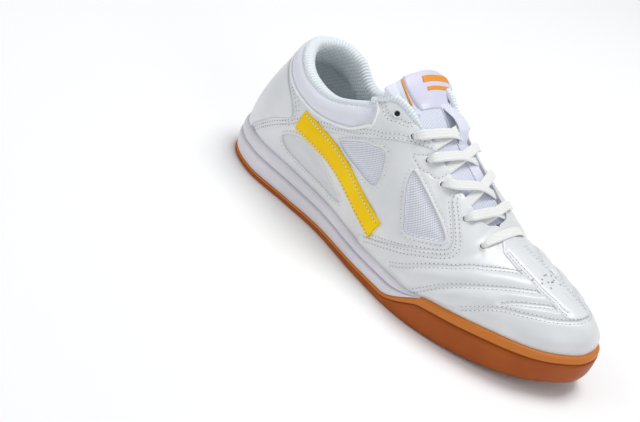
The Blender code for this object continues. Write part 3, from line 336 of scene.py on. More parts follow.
def rib_ends(number):
    """Foot, end, outward side, handle sizes and crest slope of each rib."""
    number = np.atleast_1d(np.asarray(number, float)) % RIB_COUNT
    feet = RIBS[:, 0]
    feet = np.concatenate([feet - len(OUTLINE), feet, feet + len(OUTLINE)])
    rows = np.arange(-RIB_COUNT, 2 * RIB_COUNT)
    place = hermite_table(number, np.stack([rows, feet], axis=1))
    plan = outline_at(place, FOOT_INSET)
    foot = np.column_stack([plan, rim_top(plan[:, 0])])
    scale = np.array([LENGTH, BALL_WIDTH, INSTEP_HEIGHT])
    end = spline(RIBS[:, 1:4], number) * scale
    crest = RIBS[CREST_FIRST:CREST_MIDDLE + 1, 1:4] * scale
    folded = np.where(number > CREST_MIDDLE, 2 * CREST_MIDDLE - number, number)
    on_crest = (number >= CREST_FIRST) & (number <= CREST_LAST)
    crest_point = spline(crest, np.clip(folded - CREST_FIRST, 0, 5), closed=False)
    end[on_crest] = crest_point[on_crest]
    slopes = np.gradient(crest[:, 2], crest[:, 0])
    known = np.concatenate([[0.0, slopes[0] / 2], slopes])
    slope = np.interp(np.clip(folded, 8, 15), np.arange(8, 16), known)
    handles = spline(RIBS[:, 4:], number)
    return foot, end, outward_at(place), handles, slope


def surface(number, height):
    """Point of the upper's outer surface at a rib number and a share up it."""
    number = np.atleast_1d(np.asarray(number, float))
    u = np.broadcast_to(np.asarray(height, float), number.shape)[:, None]
    foot, end, outward, handles, slope = rib_ends(number)
    rise = handles[:, 0] * INSTEP_HEIGHT
    bulge = handles[:, 1] * BALL_WIDTH
    reach = handles[:, 2] * BALL_WIDTH
    droop = np.clip(handles[:, 3], 0, 1)
    first = foot + np.column_stack([outward * bulge[:, None], rise])
    level = unit((foot - end)[:, :2])
    arrival = np.column_stack([level * np.sqrt(1 - droop**2)[:, None], -droop])
    arrival[:, 2] += slope * arrival[:, 0]
    last = end + unit(arrival) * reach[:, None]
    w = 1 - u
    return foot * w**3 + 3 * first * w**2 * u + 3 * last * w * u**2 + end * u**3


def normal(number, height):
    """Outward direction of the upper's outer surface."""
    number = np.atleast_1d(np.asarray(number, float))
    height = np.broadcast_to(np.asarray(height, float), number.shape)
    short = np.minimum(height, 0.98)
    along = surface(number + 0.03, short) - surface(number - 0.03, short)
    above = np.clip(height + 0.01, 0, 1)
    below = np.clip(height - 0.01, 0, 1)
    up = surface(number, above) - surface(number, below)
    return unit(np.cross(along, up))


def raised(number, height, lift):
    """Surface point moved out along the surface's own direction."""
    lift = np.broadcast_to(np.asarray(lift, float), np.shape(np.atleast_1d(number)))
    return surface(number, height) + normal(number, height) * lift[:, None]


def height_below_end(number, distance):
    """Share up each rib that lies a distance down from the rib's end."""
    number = np.atleast_1d(np.asarray(number, float))
    shares = np.linspace(1, 0, 101)
    grid = surface(np.repeat(number, 101), np.tile(shares, len(number))).reshape(-1, 101, 3)
    steps = np.linalg.norm(np.diff(grid, axis=1), axis=2)
    runs = np.concatenate([np.zeros((len(number), 1)), np.cumsum(steps, axis=1)], axis=1)
    drops = np.broadcast_to(distance, number.shape)
    return np.array([np.interp(drop, run, shares) for drop, run in zip(drops, runs)])


def plan_middle():
    """Middle of the sole outline in plan, which the frame's origin lies under."""
    plan = outline_at(np.arange(60) / 3)
    return (plan.min(axis=0) + plan.max(axis=0)) / 2


MIDDLE = np.array([*plan_middle(), 0.0])


# Materials

# Bands that the wave texture draws in one unit, at a scale of one
WAVE_BANDS = 6.28


class Wire:
    """Output of a shader node, with sums and products that add Math nodes."""

    def __init__(self, look, socket):
        self.look = look
        self.socket = socket

    def __add__(self, other):
        return self.look.math("ADD", self, other)

    def __radd__(self, other):
        return self.look.math("ADD", other, self)

    def __rsub__(self, other):
        return self.look.math("SUBTRACT", other, self)

    def __mul__(self, other):
        return self.look.math("MULTIPLY", self, other)

    def __abs__(self):
        return self.look.math("ABSOLUTE", self)


class Look:
    """Material in the making: a Principled shader and what feeds it."""

    def __init__(self, name, **constants):
        self.material = bpy.data.materials.new(name)
        self.material.use_nodes = True
        self.nodes = self.material.node_tree.nodes
        self.links = self.material.node_tree.links
        self.shader = self.nodes["Principled BSDF"]
        self.surface_bump = None
        for key, value in constants.items():
            self.set(key.replace("_", " ").title().replace("Ior", "IOR"), value)

    def set(self, socket, value):
        """Link or set an input of the shader."""
        target = self.shader.inputs[socket]
        if isinstance(value, Wire):
            self.links.new(value.socket, target)
        elif isinstance(value, tuple) and len(value) == 3:
            target.default_value = (*value, 1.0)
        else:
            target.default_value = value

    def add(self, kind, settings, inputs, output=0):
        """Node of one kind with its settings and inputs; gives one output."""
        node = self.nodes.new(kind)
        for key, value in settings.items():
            setattr(node, key, value)
        for key, value in inputs.items():
            if isinstance(value, Wire):
                self.links.new(value.socket, node.inputs[key])
            else:
                node.inputs[key].default_value = value
        return Wire(self, node.outputs[output])

    def math(self, operation, *values):
        return self.add("ShaderNodeMath", {"operation": operation}, dict(enumerate(values)))

    def step(self, value, low, high):
        """Smooth 0 to 1 as the value goes from low to high."""
        return self.add(
            "ShaderNodeMapRange",
            {"interpolation_type": "SMOOTHSTEP"},
            {"Value": value, "From Min": low, "From Max": high},
        )

    def mix(self, factor, first, second):
        """Colour between two others."""
        inputs = {0: factor}
        for key, value in ((6, first), (7, second)):
            inputs[key] = value if isinstance(value, Wire) else (*value, 1.0)
        return self.add("ShaderNodeMix", {"data_type": "RGBA"}, inputs, output=2)

    def painted(self, name):
        """Value painted on the mesh's points."""
        return self.add("ShaderNodeAttribute", {"attribute_name": name}, {}, output="Fac")

    def place(self):
        """Place in the object's own metres."""
        return self.add("ShaderNodeTexCoord", {}, {}, output="Object")

    def cloud(self, place):
        """Soft unevenness about as wide as a finger."""
        inputs = {"Vector": place, "Scale": 45.0, "Detail": 3.0, "Roughness": 0.5}
        return self.add("ShaderNodeTexNoise", {}, inputs)

    def grain(self, place, scale):
        """Fine cells of leather, 0 in the lines between them."""
        settings = {"feature": "DISTANCE_TO_EDGE"}
        cells = self.add("ShaderNodeTexVoronoi", settings, {"Vector": place, "Scale": scale})
        return self.step(cells, 0.0, 0.35)

    def ribs(self, value, pitch):
        """Even waves from 0 to 1 with one pitch."""
        return self.math("SINE", value * (2 * math.pi / pitch)) * 0.5 + 0.5

    def bump(self, height, distance, strength=1.0):
        """Add relief of a depth in metres on what is there already."""
        inputs = {"Height": height, "Distance": distance, "Strength": strength}
        if self.surface_bump:
            inputs["Normal"] = self.surface_bump
        self.surface_bump = self.add("ShaderNodeBump", {}, inputs)
        self.links.new(self.surface_bump.socket, self.shader.inputs["Normal"])


def plain_look(name, colour, roughness):
    """One colour without relief."""
    look = Look(name, roughness=roughness)
    look.set("Base Color", colour)
    return look


def leather_look(name, colour, dark, coat=0.15):
    """Smooth leather with a fine grain."""
    look = Look(name, roughness=0.42, coat_weight=coat, coat_roughness=0.25)
    place = look.place()
    cloud = look.cloud(place)
    look.set("Base Color", look.mix(look.step(cloud, 0.35, 0.75), dark, colour))
    look.set("Roughness", 0.36 + cloud * 0.14)
    look.bump(look.grain(place, 1500.0), 0.00006, 0.35)
    look.bump(cloud, 0.0006, 0.25)
    return look


def upper_look():
    """White leather with mesh windows and cut edges."""
    look = Look("upper_leather_skin", coat_roughness=0.2)
    place = look.place()
    cloud = look.cloud(place)
    window = look.painted("window")
    edge = look.painted("edge")
    inside = look.step(window, 0.0, 0.3)
    plain = look.painted("plain")
    skin = look.mix(look.step(cloud, 0.3, 0.8), (0.71, 0.725, 0.74), (0.775, 0.785, 0.795))
    seam = 1.0 - look.step(abs(edge), 0.10, 0.42)
    skin = look.mix(seam * 0.55, skin, (0.42, 0.44, 0.48))
    weave = mesh_weave(look, place, 1.6 * MM)
    cloth = look.mix(look.step(weave, 0.25, 0.65), (0.50, 0.52, 0.60), (0.82, 0.83, 0.89))
    cloth = look.mix(plain, cloth, (0.66, 0.67, 0.69))
    # Thin dark line along each window's rim: painted shade where the leather steps down into the
    # sunken window
    border = 1.0 - look.step(abs(window), 0.12, 0.5)
    textile = 1.0 - look.step(look.painted("binding"), -0.2, 0.2)
    skin = look.mix(textile, skin, (0.76, 0.80, 0.86))
    colour = look.mix(inside, skin, cloth)
    colour = look.mix(border * 0.6, colour, (0.38, 0.39, 0.43))
    look.set("Base Color", colour)
    cloth_share = look.math("MAXIMUM", inside * (1.0 - plain), textile)
    look.set("Roughness", 0.33 + cloud * 0.12 + cloth_share * 0.45)
    look.set("Coat Weight", (1.0 - cloth_share) * 0.28)
    look.bump(look.grain(place, 1300.0) * (1.0 - inside), 0.00007, 0.35)
    look.bump(cloud, 0.0007, 0.3)
    look.bump(weave * inside * (1.0 - plain), 0.00025, 0.8)
    return look


def mesh_weave(look, place, pitch):
    """Knitted mesh: rows of small holes, shifted by half from row to row."""
    parts = look.add("ShaderNodeSeparateXYZ", {}, {"Vector": place}).socket.node.outputs
    x, y, z = (Wire(look, part) for part in parts)
    turn = 2 * math.pi / pitch
    along = look.math("SINE", (x + y * 0.35) * turn)
    up = look.math("SINE", (z + x * 0.25) * turn)
    return along * up * 0.5 + 0.5


def lining_look():
    """Pale knit: ribs over the collar's roll and rows of ovals inside."""
    look = Look("pale_lining", roughness=0.85, sheen_weight=0.25)
    roll = look.painted("roll")
    ovals = mesh_weave(look, look.place(), 3.2 * MM)
    ribs = look.ribs(look.painted("along"), 2.1)
    knit = look.step(ovals, 0.3, 0.7) * (1.0 - roll) + ribs * roll
    look.set("Base Color", look.mix(knit, (0.74, 0.83, 0.87), (0.91, 0.95, 0.97)))
    look.bump(knit, 0.0005, 0.8)
    return look


def foam_look():
    """Matt white foam, greyer in its grooved band as painted shade."""
    look = Look("foam_skin", roughness=0.6)
    cloud = look.cloud(look.place())
    skin = look.mix(look.step(cloud, 0.3, 0.8), (0.70, 0.68, 0.73), (0.75, 0.73, 0.78))
    # Painted shade: the grooved rings are mixed toward grey
    look.set("Base Color", look.mix(look.painted("groove_shade") * 0.7, skin, (0.46, 0.45, 0.50)))
    look.bump(cloud, 0.0005, 0.25)
    return look


def tongue_look():
    """Mesh of fine slanting ribs, smooth where the tongue is only padded."""
    look = Look("tongue_weave", roughness=0.85, sheen_weight=0.25)
    smooth = look.painted("smooth")
    ribs = look.ribs(look.painted("knit"), 1.5) * (1.0 - smooth) + smooth * 0.8
    look.set("Base Color", look.mix(ribs, (0.64, 0.67, 0.80), (0.80, 0.82, 0.91)))
    look.bump(ribs, 0.0003, 0.7)
    return look


def gum_look():
    """Satin gum rubber, lighter along its bevelled top edge as painted light from above."""
    look = Look("gum_skin", specular_ior_level=0.25, roughness=0.45)
    cloud = look.cloud(look.place())
    side = look.mix(look.step(cloud, 0.3, 0.8), (0.34, 0.070, 0.005), (0.40, 0.088, 0.008))
    # Painted light: the bevelled top edge is mixed to a lighter orange, as if lit from above
    look.set("Base Color", look.mix(look.painted("lit_bevel"), side, (0.60, 0.19, 0.03)))
    look.set("Roughness", 0.38 + cloud * 0.14)
    look.bump(cloud, 0.0005, 0.25)
    return look


def cloth_look(name, colour, dark, pitch, depth, roughness=0.85):
    """Woven cloth: two crossed waves of one thread pitch."""
    look = Look(name, roughness=roughness, sheen_weight=0.25)
    scale = 1 / pitch / WAVE_BANDS
    inputs = {"Vector": look.place(), "Scale": scale, "Distortion": 0.6, "Detail Scale": 2.0}
    waves = []
    for direction in ("DIAGONAL", "Z"):
        settings = {"wave_type": "BANDS", "bands_direction": direction}
        waves.append(look.add("ShaderNodeTexWave", settings, inputs))
    weave = look.math("MAXIMUM", *waves)
    look.set("Base Color", look.mix(weave, dark, colour))
    look.bump(weave, depth, 0.7)
    return look


# Meshes

def add_object(name, points, faces, look, smooth=True, painted=None):
    """Mesh object from points in the last's own place, moved to the origin."""
    mesh = bpy.data.meshes.new(name)
    points = np.asarray(points, float) - MIDDLE
    faces = [tuple(int(corner) for corner in face) for face in faces]
    mesh.from_pydata(points.tolist(), [], faces)
    for key, values in (painted or {}).items():
        layer = mesh.attributes.new(key, "FLOAT", "POINT")
        layer.data.foreach_set("value", np.asarray(values, np.float32))
    mesh.materials.append(look.material)
    made = bpy.data.objects.new(name, mesh)
    bpy.context.scene.collection.objects.link(made)
    if smooth:
        mesh.polygons.foreach_set("use_smooth", [True] * len(mesh.polygons))
    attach(made, "root")
    return made


def ring_faces(rows, columns, closed=True, start=0):
    """Quads between rows of points that each hold the same number of columns."""
    span = columns if closed else columns - 1
    row, column = np.meshgrid(np.arange(rows - 1), np.arange(span), indexing="ij")
    low = start + row * columns
    after = (column + 1) % columns
    quads = np.stack([low + column, low + after, low + columns + after, low + columns + column])
    return quads.reshape(4, -1).T


def loft(name, sections, look, smooth=True, painted=None):
    """Closed body through sections that each hold one ring of points."""
    rows = len(sections)
    columns = len(sections[0])
    faces = list(ring_faces(rows, columns))
    faces.append(tuple(range(columns)))
    faces.append(tuple(range((rows - 1) * columns, rows * columns)))
    made = add_object(name, np.concatenate(sections), faces, look, smooth, painted)
    face_outward(made)
    return made


def face_outward(made):
    """Turn the faces of a mesh outward."""
    work = bmesh.new()
    work.from_mesh(made.data)
    bmesh.ops.recalc_face_normals(work, faces=work.faces)
    work.to_mesh(made.data)
    work.free()


def even_places(places, spacing, ends=0.0):
    """Rib places at even spacing along a smooth path, with its direction."""
    places = np.asarray(places, float)
    fine = spline(places, np.linspace(0, len(places) - 1, 40 * len(places)), closed=False)
    line = surface(fine[:, 0], fine[:, 1])
    run = runs(line)
    count = max(2, int((run[-1] - 2 * ends) / spacing))
    wanted = np.linspace(ends, run[-1] - ends, count + 1)
    number = np.interp(wanted, run, fine[:, 0])
    height = np.interp(wanted, run, fine[:, 1])
    direction = np.gradient(np.stack([number, height], axis=1), axis=0)
    return number, height, direction


def closed_places(border, steps=8):
    """Smooth closed border, its first place given again at the end."""
    return spline(border, np.arange(len(border) * steps + 1) / steps)


def cap_faces(start=0):
    """Quads across a ring of the sole, from one half of it to the other."""
    steps = range(start + 1, start + SOLE_POINTS // 2 - 1)
    last = 2 * start + SOLE_POINTS
    return [(step, step + 1, last - step - 1, last - step) for step in steps]


def aside(number, height, direction, distance):
    """Rib places moved a distance over the surface, square to their path."""
    step = 0.02
    along = (surface(number + step, height) - surface(number - step, height)) / (2 * step)
    low = np.clip(height - step, 0, 1)
    high = np.clip(height + step, 0, 1)
    up = (surface(number, high) - surface(number, low)) / (high - low)[:, None]
    path = unit(along * direction[:, :1] + up * direction[:, 1:])
    square = np.cross(normal(number, height), path) * distance
    grid = np.stack([along, up], axis=2)
    gram = np.einsum("nij,nik->njk", grid, grid) + np.eye(2) * 1e-12
    change = np.linalg.solve(gram, np.einsum("nij,ni->nj", grid, square)[:, :, None])[:, :, 0]
    return number + change[:, 0], np.clip(height + change[:, 1], 0.0, 1.0)


def distance_to_path(points, places, reach):
    """Distance of each point to a path over the surface, at most reach."""
    line = surface(places[:, 0], places[:, 1])
    result = np.full(len(points), reach)
    low = line.min(axis=0) - reach
    high = line.max(axis=0) + reach
    near = np.nonzero(((points > low) & (points < high)).all(axis=1))[0]
    starts = line[:-1]
    spans = np.diff(line, axis=0)
    lengths = (spans**2).sum(axis=1) + 1e-12
    for first in range(0, len(near), 4000):
        rows = near[first:first + 4000]
        away = points[rows][:, None, :] - starts[None]
        share = np.clip((away * spans[None]).sum(axis=2) / lengths, 0, 1)
        rest = away - share[:, :, None] * spans[None]
        nearest = np.sqrt((rest**2).sum(axis=2).min(axis=1))
        result[rows] = np.minimum(result[rows], nearest)
    return result


def inside_border(number, height, border):
    """True for each place inside a closed border."""
    inside = np.zeros(len(number), bool)
    border = np.asarray(border)
    for (x0, y0), (x1, y1) in zip(border, np.roll(border, -1, axis=0)):
        if y0 == y1:
            continue
        crosses = (y0 > height) != (y1 > height)
        inside ^= crosses & (number < (x1 - x0) * (height - y0) / (y1 - y0) + x0)
    return inside


def on_side(places, side):
    """Places on the outer side (1) or the same on the inner side (-1)."""
    places = np.asarray(places, float)
    if side > 0:
        return places
    return np.column_stack([RIB_COUNT - places[:, 0], places[:, 1]])


# Upper

STITCH_PITCH = 2.6 * MM
STITCH_LENGTH = 1.75 * MM
STITCH_WIDTH = 0.62 * MM
# Needle holes and pinholes are drawn as dark discs of painted shade; these are their radii
NEEDLE_HOLE = 0.40 * MM
PINHOLE = 0.70 * MM
ROW_STEP = 2.6 * MM
LINE_STEP = 1.5 * MM
UPPER_COLUMNS = 660
UPPER_ROWS = 112
REACH = 12 * MM

# Heights of the leather's forms and widths of its valleys
PANEL_STEP = 0.55 * MM
CENTRE_STEP = 0.9 * MM
COUNTER_STEP = 1.1 * MM
BINDING_DROP = 0.6 * MM
PAD_RISE = 1.5 * MM
PAD_EDGE = 3.4 * MM
VALLEY_DEPTH = 0.5 * MM
VALLEY_WIDTH = 1.5 * MM
SEWN_DEPTH = 0.38 * MM
WINDOW_DROP = 0.9 * MM
WINDOW_BORDER = 0.50 * MM
WINDOW_TROUGH = 0.30 * MM
WINDOW_CROWN = 0.7 * MM

# Punched holes: leather is cut away inside one radius and drawn out to another
HOLE_CUT = 1.0 * MM
HOLE_EDGE = 1.8 * MM
HOLE_REACH = 2.4 * MM

# Turned rings of a hole's lip and of the near-black tube of painted shade inside it, radius and
# height in millimetres
LIP_RINGS = [(2.9, 0.02), (2.55, 0.22), (2.15, 0.20), (1.85, -0.15), (1.75, -0.8)]
SHADE_DEPTH_RINGS = [(1.85, -0.5), (1.8, -1.6), (0.9, -1.75)]

# Borders of the regions that lie above or below the panels beside them
REGIONS = {
    "facing": FACING_EDGE + [(7.20, 1.3), (2.52, 1.3)],
    "vamp": VAMP_EDGE + [(7.85, 1.3), (15.5, 1.3), (15.5, -0.3), (5.80, -0.3)],
    "counter": COUNTER + [(-0.5, 0.76), (-0.5, -0.3), (1.38, -0.3)],
    "centre": CENTRE_PANEL + CENTRE_FRONT + [(15.5, 0.92), (15.5, 1.3), (10.2, 1.3)],
    "padding": RIDGE_ROWS[0] + [(12.4, 1.3), (15.5, 1.3), (15.5, 0.87)]
    + RIDGE_ROWS[3][::-1] + [(9.3, 0.03), (8.0, 0.02)],
}


def side_line(places, side, spacing=LINE_STEP):
    """Dense line through places, on one side of the foot."""
    number, height, direction = even_places(on_side(places, side), spacing)
    return np.column_stack([number, height])


def side_paths(side):
    """Every line of one side of the upper, as dense places."""
    rows = [(places, (count - 1) / 2 * ROW_STEP, count) for places, count in STITCHED]
    rows += [(COUNTER[:-1], -3.3 * MM, 2), (CENTRE_PANEL[1:], 2.8 * MM, 2)]
    sewn = []
    for places, shift, count in rows:
        number, height, direction = even_places(on_side(places, side), LINE_STEP)
        if shift:
            number, height = aside(number, height, direction, side * shift)
        sewn.append((np.column_stack([number, height]), count))
    creases = []
    for places, depth, width in CREASES:
        creases.append((side_line(places, side, 3.0 * MM), depth * MM, width * MM))
    return {
        "windows": [closed_places(on_side(border, side)) for border in WINDOWS],
        "sewn": sewn,
        "creases": creases,
        "ridges": [side_line(places, side) for places in RIDGE_ROWS],
        "facing": side_line(FACING_EDGE, side),
        "vamp": side_line(VAMP_EDGE, side),
        "centre": side_line(CENTRE_PANEL + CENTRE_FRONT, side),
        "counter": side_line(COUNTER, side),
        "binding": side_line(BINDING_LINE, side),
    }


PATHS = {1: side_paths(1), -1: side_paths(-1)}


def signed_distance(points, number, height, path, border):
    """Distance to a path over the surface, positive inside a border."""
    away = distance_to_path(points, path, REACH)
    return np.where(inside_border(number, height, border), away, -away)


def nearer(first, second):
    """Of two signed distances, the one that is closer to its line."""
    return np.where(np.abs(second) < np.abs(first), second, first)


def relief(number, height):
    """Height of the upper's forms above the plain last, and what is painted."""
    number = np.asarray(number, float) % RIB_COUNT
    height = np.asarray(height, float)
    points = surface(number, height)
    lift = np.zeros(len(number))
    window = np.full(len(number), -REACH)
    edge = np.full(len(number), REACH)
    plain = np.zeros(len(number))
    binding = np.full(len(number), REACH)
    for side in (1, -1):
        rows = np.nonzero(number <= 15 if side > 0 else number > 15)[0]
        paths = PATHS[side]
        place = (points[rows], number[rows], height[rows])
        for index, border in enumerate(paths["windows"]):
            away = signed_distance(*place, border, border)
            window[rows] = np.maximum(window[rows], away)
            if index == 0:
                plain[rows] = away > -6 * MM
        for name in ("facing", "vamp"):
            away = signed_distance(*place, paths[name], on_side(REGIONS[name], side))
            edge[rows] = nearer(edge[rows], away)
            lift[rows] += PANEL_STEP * ease(away, -0.5 * MM, 0.7 * MM)
        away = signed_distance(*place, paths["centre"], on_side(REGIONS["centre"], side))
        edge[rows] = nearer(edge[rows], away)
        centre = ease(away, -0.5 * MM, 0.7 * MM)
        ridge = np.full(len(rows), REACH)
        for path in paths["ridges"]:
            ridge = np.minimum(ridge, distance_to_path(place[0], path, REACH))
        padded = inside_border(*place[1:], on_side(REGIONS["padding"], side))
        pads = np.where(padded, PAD_RISE * (1 - bell(ridge, PAD_EDGE)), 0)
        pads = (pads - VALLEY_DEPTH * bell(ridge, VALLEY_WIDTH)) * ease(place[2], 0.0, 0.12)
        lift[rows] += pads * (1 - centre) + CENTRE_STEP * centre
        away = signed_distance(*place, paths["counter"], on_side(REGIONS["counter"], side))
        edge[rows] = nearer(edge[rows], away)
        lift[rows] += COUNTER_STEP * ease(away, -0.5 * MM, 0.6 * MM)
        away = distance_to_path(place[0], paths["binding"], REACH) - BINDING
        edge[rows] = nearer(edge[rows], away)
        binding[rows] = away
        lift[rows] -= BINDING_DROP * (1 - ease(away, -0.5 * MM, 0.5 * MM))
        for path, count in paths["sewn"]:
            half = 0.9 * MM + (count - 1) / 2 * ROW_STEP
            away = distance_to_path(place[0], path, REACH)
            lift[rows] -= SEWN_DEPTH * np.exp(-((away / half) ** 4))
        for path, depth, width in paths["creases"]:
            trough = bell(distance_to_path(place[0], path, REACH), width)
            lift[rows] -= depth * trough * (place[2] < 0.995)
    lift -= WINDOW_DROP * ease(window, -0.4 * MM, 1.0 * MM)
    lift += WINDOW_BORDER * bell(window + 1.0 * MM, 0.7 * MM)
    lift -= WINDOW_TROUGH * bell(window + 2.4 * MM, 0.9 * MM)
    lift += WINDOW_CROWN * ease(window, 1.5 * MM, 7.0 * MM)
    painted = {"window": window / MM, "edge": edge / MM, "binding": binding / MM}
    return lift, {**painted, "plain": plain}


def on_leather(number, height):
    """Points on the finished leather."""
    lift, painted = relief(number, height)
    return raised(number, height, lift)


def collar_share(number):
    """Height up the rib of the collar's seam, round the heel."""
    away = np.abs(number)
    return height_below_end(number, INSTEP_HEIGHT * hermite_table(away, COLLAR_DEPTH))


def collar_line():
    """Places along the collar's lower seam and front edges, side to side."""
    around = np.linspace(-COLLAR_EDGE_RIB, COLLAR_EDGE_RIB, 90)
    seam = np.column_stack([around, collar_share(around)])
    front = np.array(COLLAR_FRONT)
    front[0, 1] = seam[-1, 1]
    back = np.column_stack([-front[::-1, 0], front[::-1, 1]])
    back[-1, 1] = seam[0, 1]
    return np.concatenate([back[:-1], seam, front[1:]])


def in_collar(number, height):
    """True for each place that the collar covers."""
    around = np.where(number > 15, number - RIB_COUNT, number)
    return inside_border(around, height, np.concatenate([collar_line(), [(3.9, 1.3), (-3.9, 1.3)]]))


def build_upper(look, lining):
    """Leather shell with its relief, and the lining inside it."""
    columns = np.arange(UPPER_COLUMNS) * RIB_COUNT / UPPER_COLUMNS
    number = np.tile(columns, UPPER_ROWS)
    height = np.repeat(np.linspace(0, 1, UPPER_ROWS), UPPER_COLUMNS)
    lift, painted = relief(number, height)
    skin = raised(number, height, lift)
    eyelet = np.full(len(number), REACH)
    for rib, share in eyelet_places(1) + eyelet_places(-1):
        middle = on_leather([rib], [share])[0]
        away = skin - middle
        distance = np.linalg.norm(away, axis=1)
        near = (distance > HOLE_CUT) & (distance < HOLE_REACH)
        grown = np.interp(distance[near], [HOLE_CUT, HOLE_REACH], [HOLE_EDGE, HOLE_REACH])
        skin[near] = middle + away[near] * (grown / distance[near])[:, None]
        eyelet = np.minimum(eyelet, distance)
    faces = ring_faces(UPPER_ROWS, UPPER_COLUMNS)
    hidden = in_collar(number, height)[faces].all(axis=1) | (eyelet[faces] < HOLE_CUT).any(axis=1)
    hem = surface(columns, 0)
    hem[:, 2] -= RIM_LAP * 0.8
    lap = ring_faces(2, UPPER_COLUMNS)
    lap = np.where(lap < UPPER_COLUMNS, lap + len(skin), lap - UPPER_COLUMNS)
    for key, values in painted.items():
        painted[key] = np.concatenate([values, values[:UPPER_COLUMNS]])
    points = np.concatenate([skin, hem])
    faces = np.concatenate([lap, faces[~hidden]])
    shell = add_object("upper_leather", points, faces, look, True, painted)
    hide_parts("upper", "heel_counter")
    columns_inside = columns[::3]
    shares = np.linspace(-0.12, 1, 34)
    number = np.tile(columns_inside, len(shares))
    height = np.repeat(shares, len(columns_inside))
    points = raised(number, np.maximum(height, 0), -UPPER_WALL)
    points[:, 2] += np.minimum(height, 0) * 0.05
    faces = ring_faces(len(shares), len(columns_inside))[:, ::-1]
    faces = faces[~in_collar(number, height)[faces].all(axis=1)]
    inside = add_object("upper_lining", points, faces, lining)
    edge_strip(columns, look)


def build_eyelets(skin_look, dark):
    """Rolled leather lip of each punched hole, and a near-black tube and floor inside it as painted
    shade.
    """
    lips = [[], []]
    shade_depths = [[], []]
    for number, share in eyelet_places(1) + eyelet_places(-1):
        middle = on_leather([number], [share])[0]
        axis = normal([number], [share])[0]
        add_rings(lips, middle, axis, LIP_RINGS, False)
        add_rings(shade_depths, middle, axis, SHADE_DEPTH_RINGS, True)
    made = add_object("eyelet_lips", *lips, skin_look)
    made = add_object("eyelet_shade_depths", *shade_depths, dark)


def add_rings(parts, middle, axis, rings, closed):
    """Add turned rings, each (radius, height) in millimetres, to a mesh in the making."""
    points, faces = parts
    sides = 28
    start = len(points)
    axis = Vector(axis)
    across = axis.orthogonal().normalized()
    other = axis.cross(across)
    for radius, height in rings:
        for corner in range(sides):
            angle = 2 * math.pi * corner / sides
            rim = across * math.cos(angle) + other * math.sin(angle)
            points.append(Vector(middle) + rim * radius * MM + axis * height * MM)
    faces.extend(ring_faces(len(rings), sides, start=start))
    if closed:
        faces.append(tuple(range(len(points) - sides, len(points))))


def edge_strip(columns, look):
    """Cut edge of the leather round the throat, between skin and lining."""
    around = columns[(columns > 4.10) & (columns < RIB_COUNT - 4.10)]
    top = np.ones(len(around))
    outer = on_leather(around, top)
    inner = raised(around, top, -UPPER_WALL)
    middle = (outer + inner) / 2 + np.array([0, 0, 0.4 * MM])
    faces = ring_faces(3, len(around), closed=False)
    edge = add_object("throat_edge", np.concatenate([outer, middle, inner]), faces, look)


def eyelet_places(side):
    """Rib number and height of each eyelet on one side of the foot."""
    places = []
    for rib in EYELET_RIBS:
        inset = EYELET_INSET * (2.5 if rib > CREST_FIRST - 1 else 1.0)
        number = rib if side > 0 else RIB_COUNT - rib
        places.append((number, height_below_end([number], inset)[0]))
    return places


# Stitches

def stitch_parts(place, along, up, length):
    """Points of one low thread: three rings of five, tapered at the ends."""
    across = np.cross(up, along)
    points = []
    for share, size in ((-0.5, 0.45), (0.0, 1.0), (0.5, 0.45)):
        half = STITCH_WIDTH / 2 * size
        for corner in range(5):
            angle = 2 * math.pi * corner / 5
            side = across * math.cos(angle) * half
            rise = up * (math.sin(angle) * half + STITCH_WIDTH * 0.22 * size)
            points.append(place + along * share * length + side + rise)
    return points


class Sewing:
    """Stitches gathered from many rows into one mesh, and dark discs of painted shade at their
    holes.
    """

    def __init__(self):
        self.points = []
        self.faces = []
        self.hole_points = []
        self.hole_faces = []

    def row(self, points, sides):
        """One row of stitches along a line of needle holes."""
        along = np.diff(points, axis=0)
        for index, length in enumerate(np.linalg.norm(along, axis=1)):
            if length < 0.5 * MM or length > 5 * MM:
                continue
            middle = (points[index] + points[index + 1]) / 2
            up = unit(sides[index] + sides[index + 1])
            start = len(self.points)
            thread = min(STITCH_LENGTH, length * 0.7)
            self.points.extend(stitch_parts(middle, along[index] / length, up, thread))
            self.faces.extend(ring_faces(3, 5, start=start))
            self.faces.append(tuple(range(start, start + 5)))
            self.faces.append(tuple(range(start + 10, start + 15)))
        for place, up in zip(points, sides):
            self.hole(place, up, NEEDLE_HOLE)

    def hole(self, place, up, radius):
        """Small round hole as a dark disc on the surface: painted shade of the hole."""
        side = unit(np.cross(up, [0.3, 0.5, 0.8]))
        other = np.cross(up, side)
        start = len(self.hole_points)
        for corner in range(6):
            angle = math.radians(60 * corner)
            rim = side * math.cos(angle) + other * math.sin(angle)
            self.hole_points.append(place + rim * radius + up * 0.05 * MM)
        self.hole_faces.append(tuple(range(start, start + 6)))

    def pinholes(self, places):
        """Punched air holes over the toe, as dark discs of painted shade."""
        number, height = np.array(places).T
        for spot, up in zip(on_leather(number, height), normal(number, height)):
            self.hole(spot, up, PINHOLE)

    def on_upper(self, places, shift=0.0, ends=1.5 * MM):
        """Row over the upper, moved sideways from a path."""
        number, height, direction = even_places(places, STITCH_PITCH, ends)
        if shift:
            number, height = aside(number, height, direction, shift)
        kept = height < 0.992
        number = number[kept]
        height = height[kept]
        if len(number) > 1:
            self.row(on_leather(number, height), normal(number, height))

    def finish(self, thread, hole):
        made = add_object("stitches", self.points, self.faces, thread)
        # Dark discs of painted shade at the holes
        holes = add_object("needle_hole_shades", self.hole_points, self.hole_faces, hole, False)


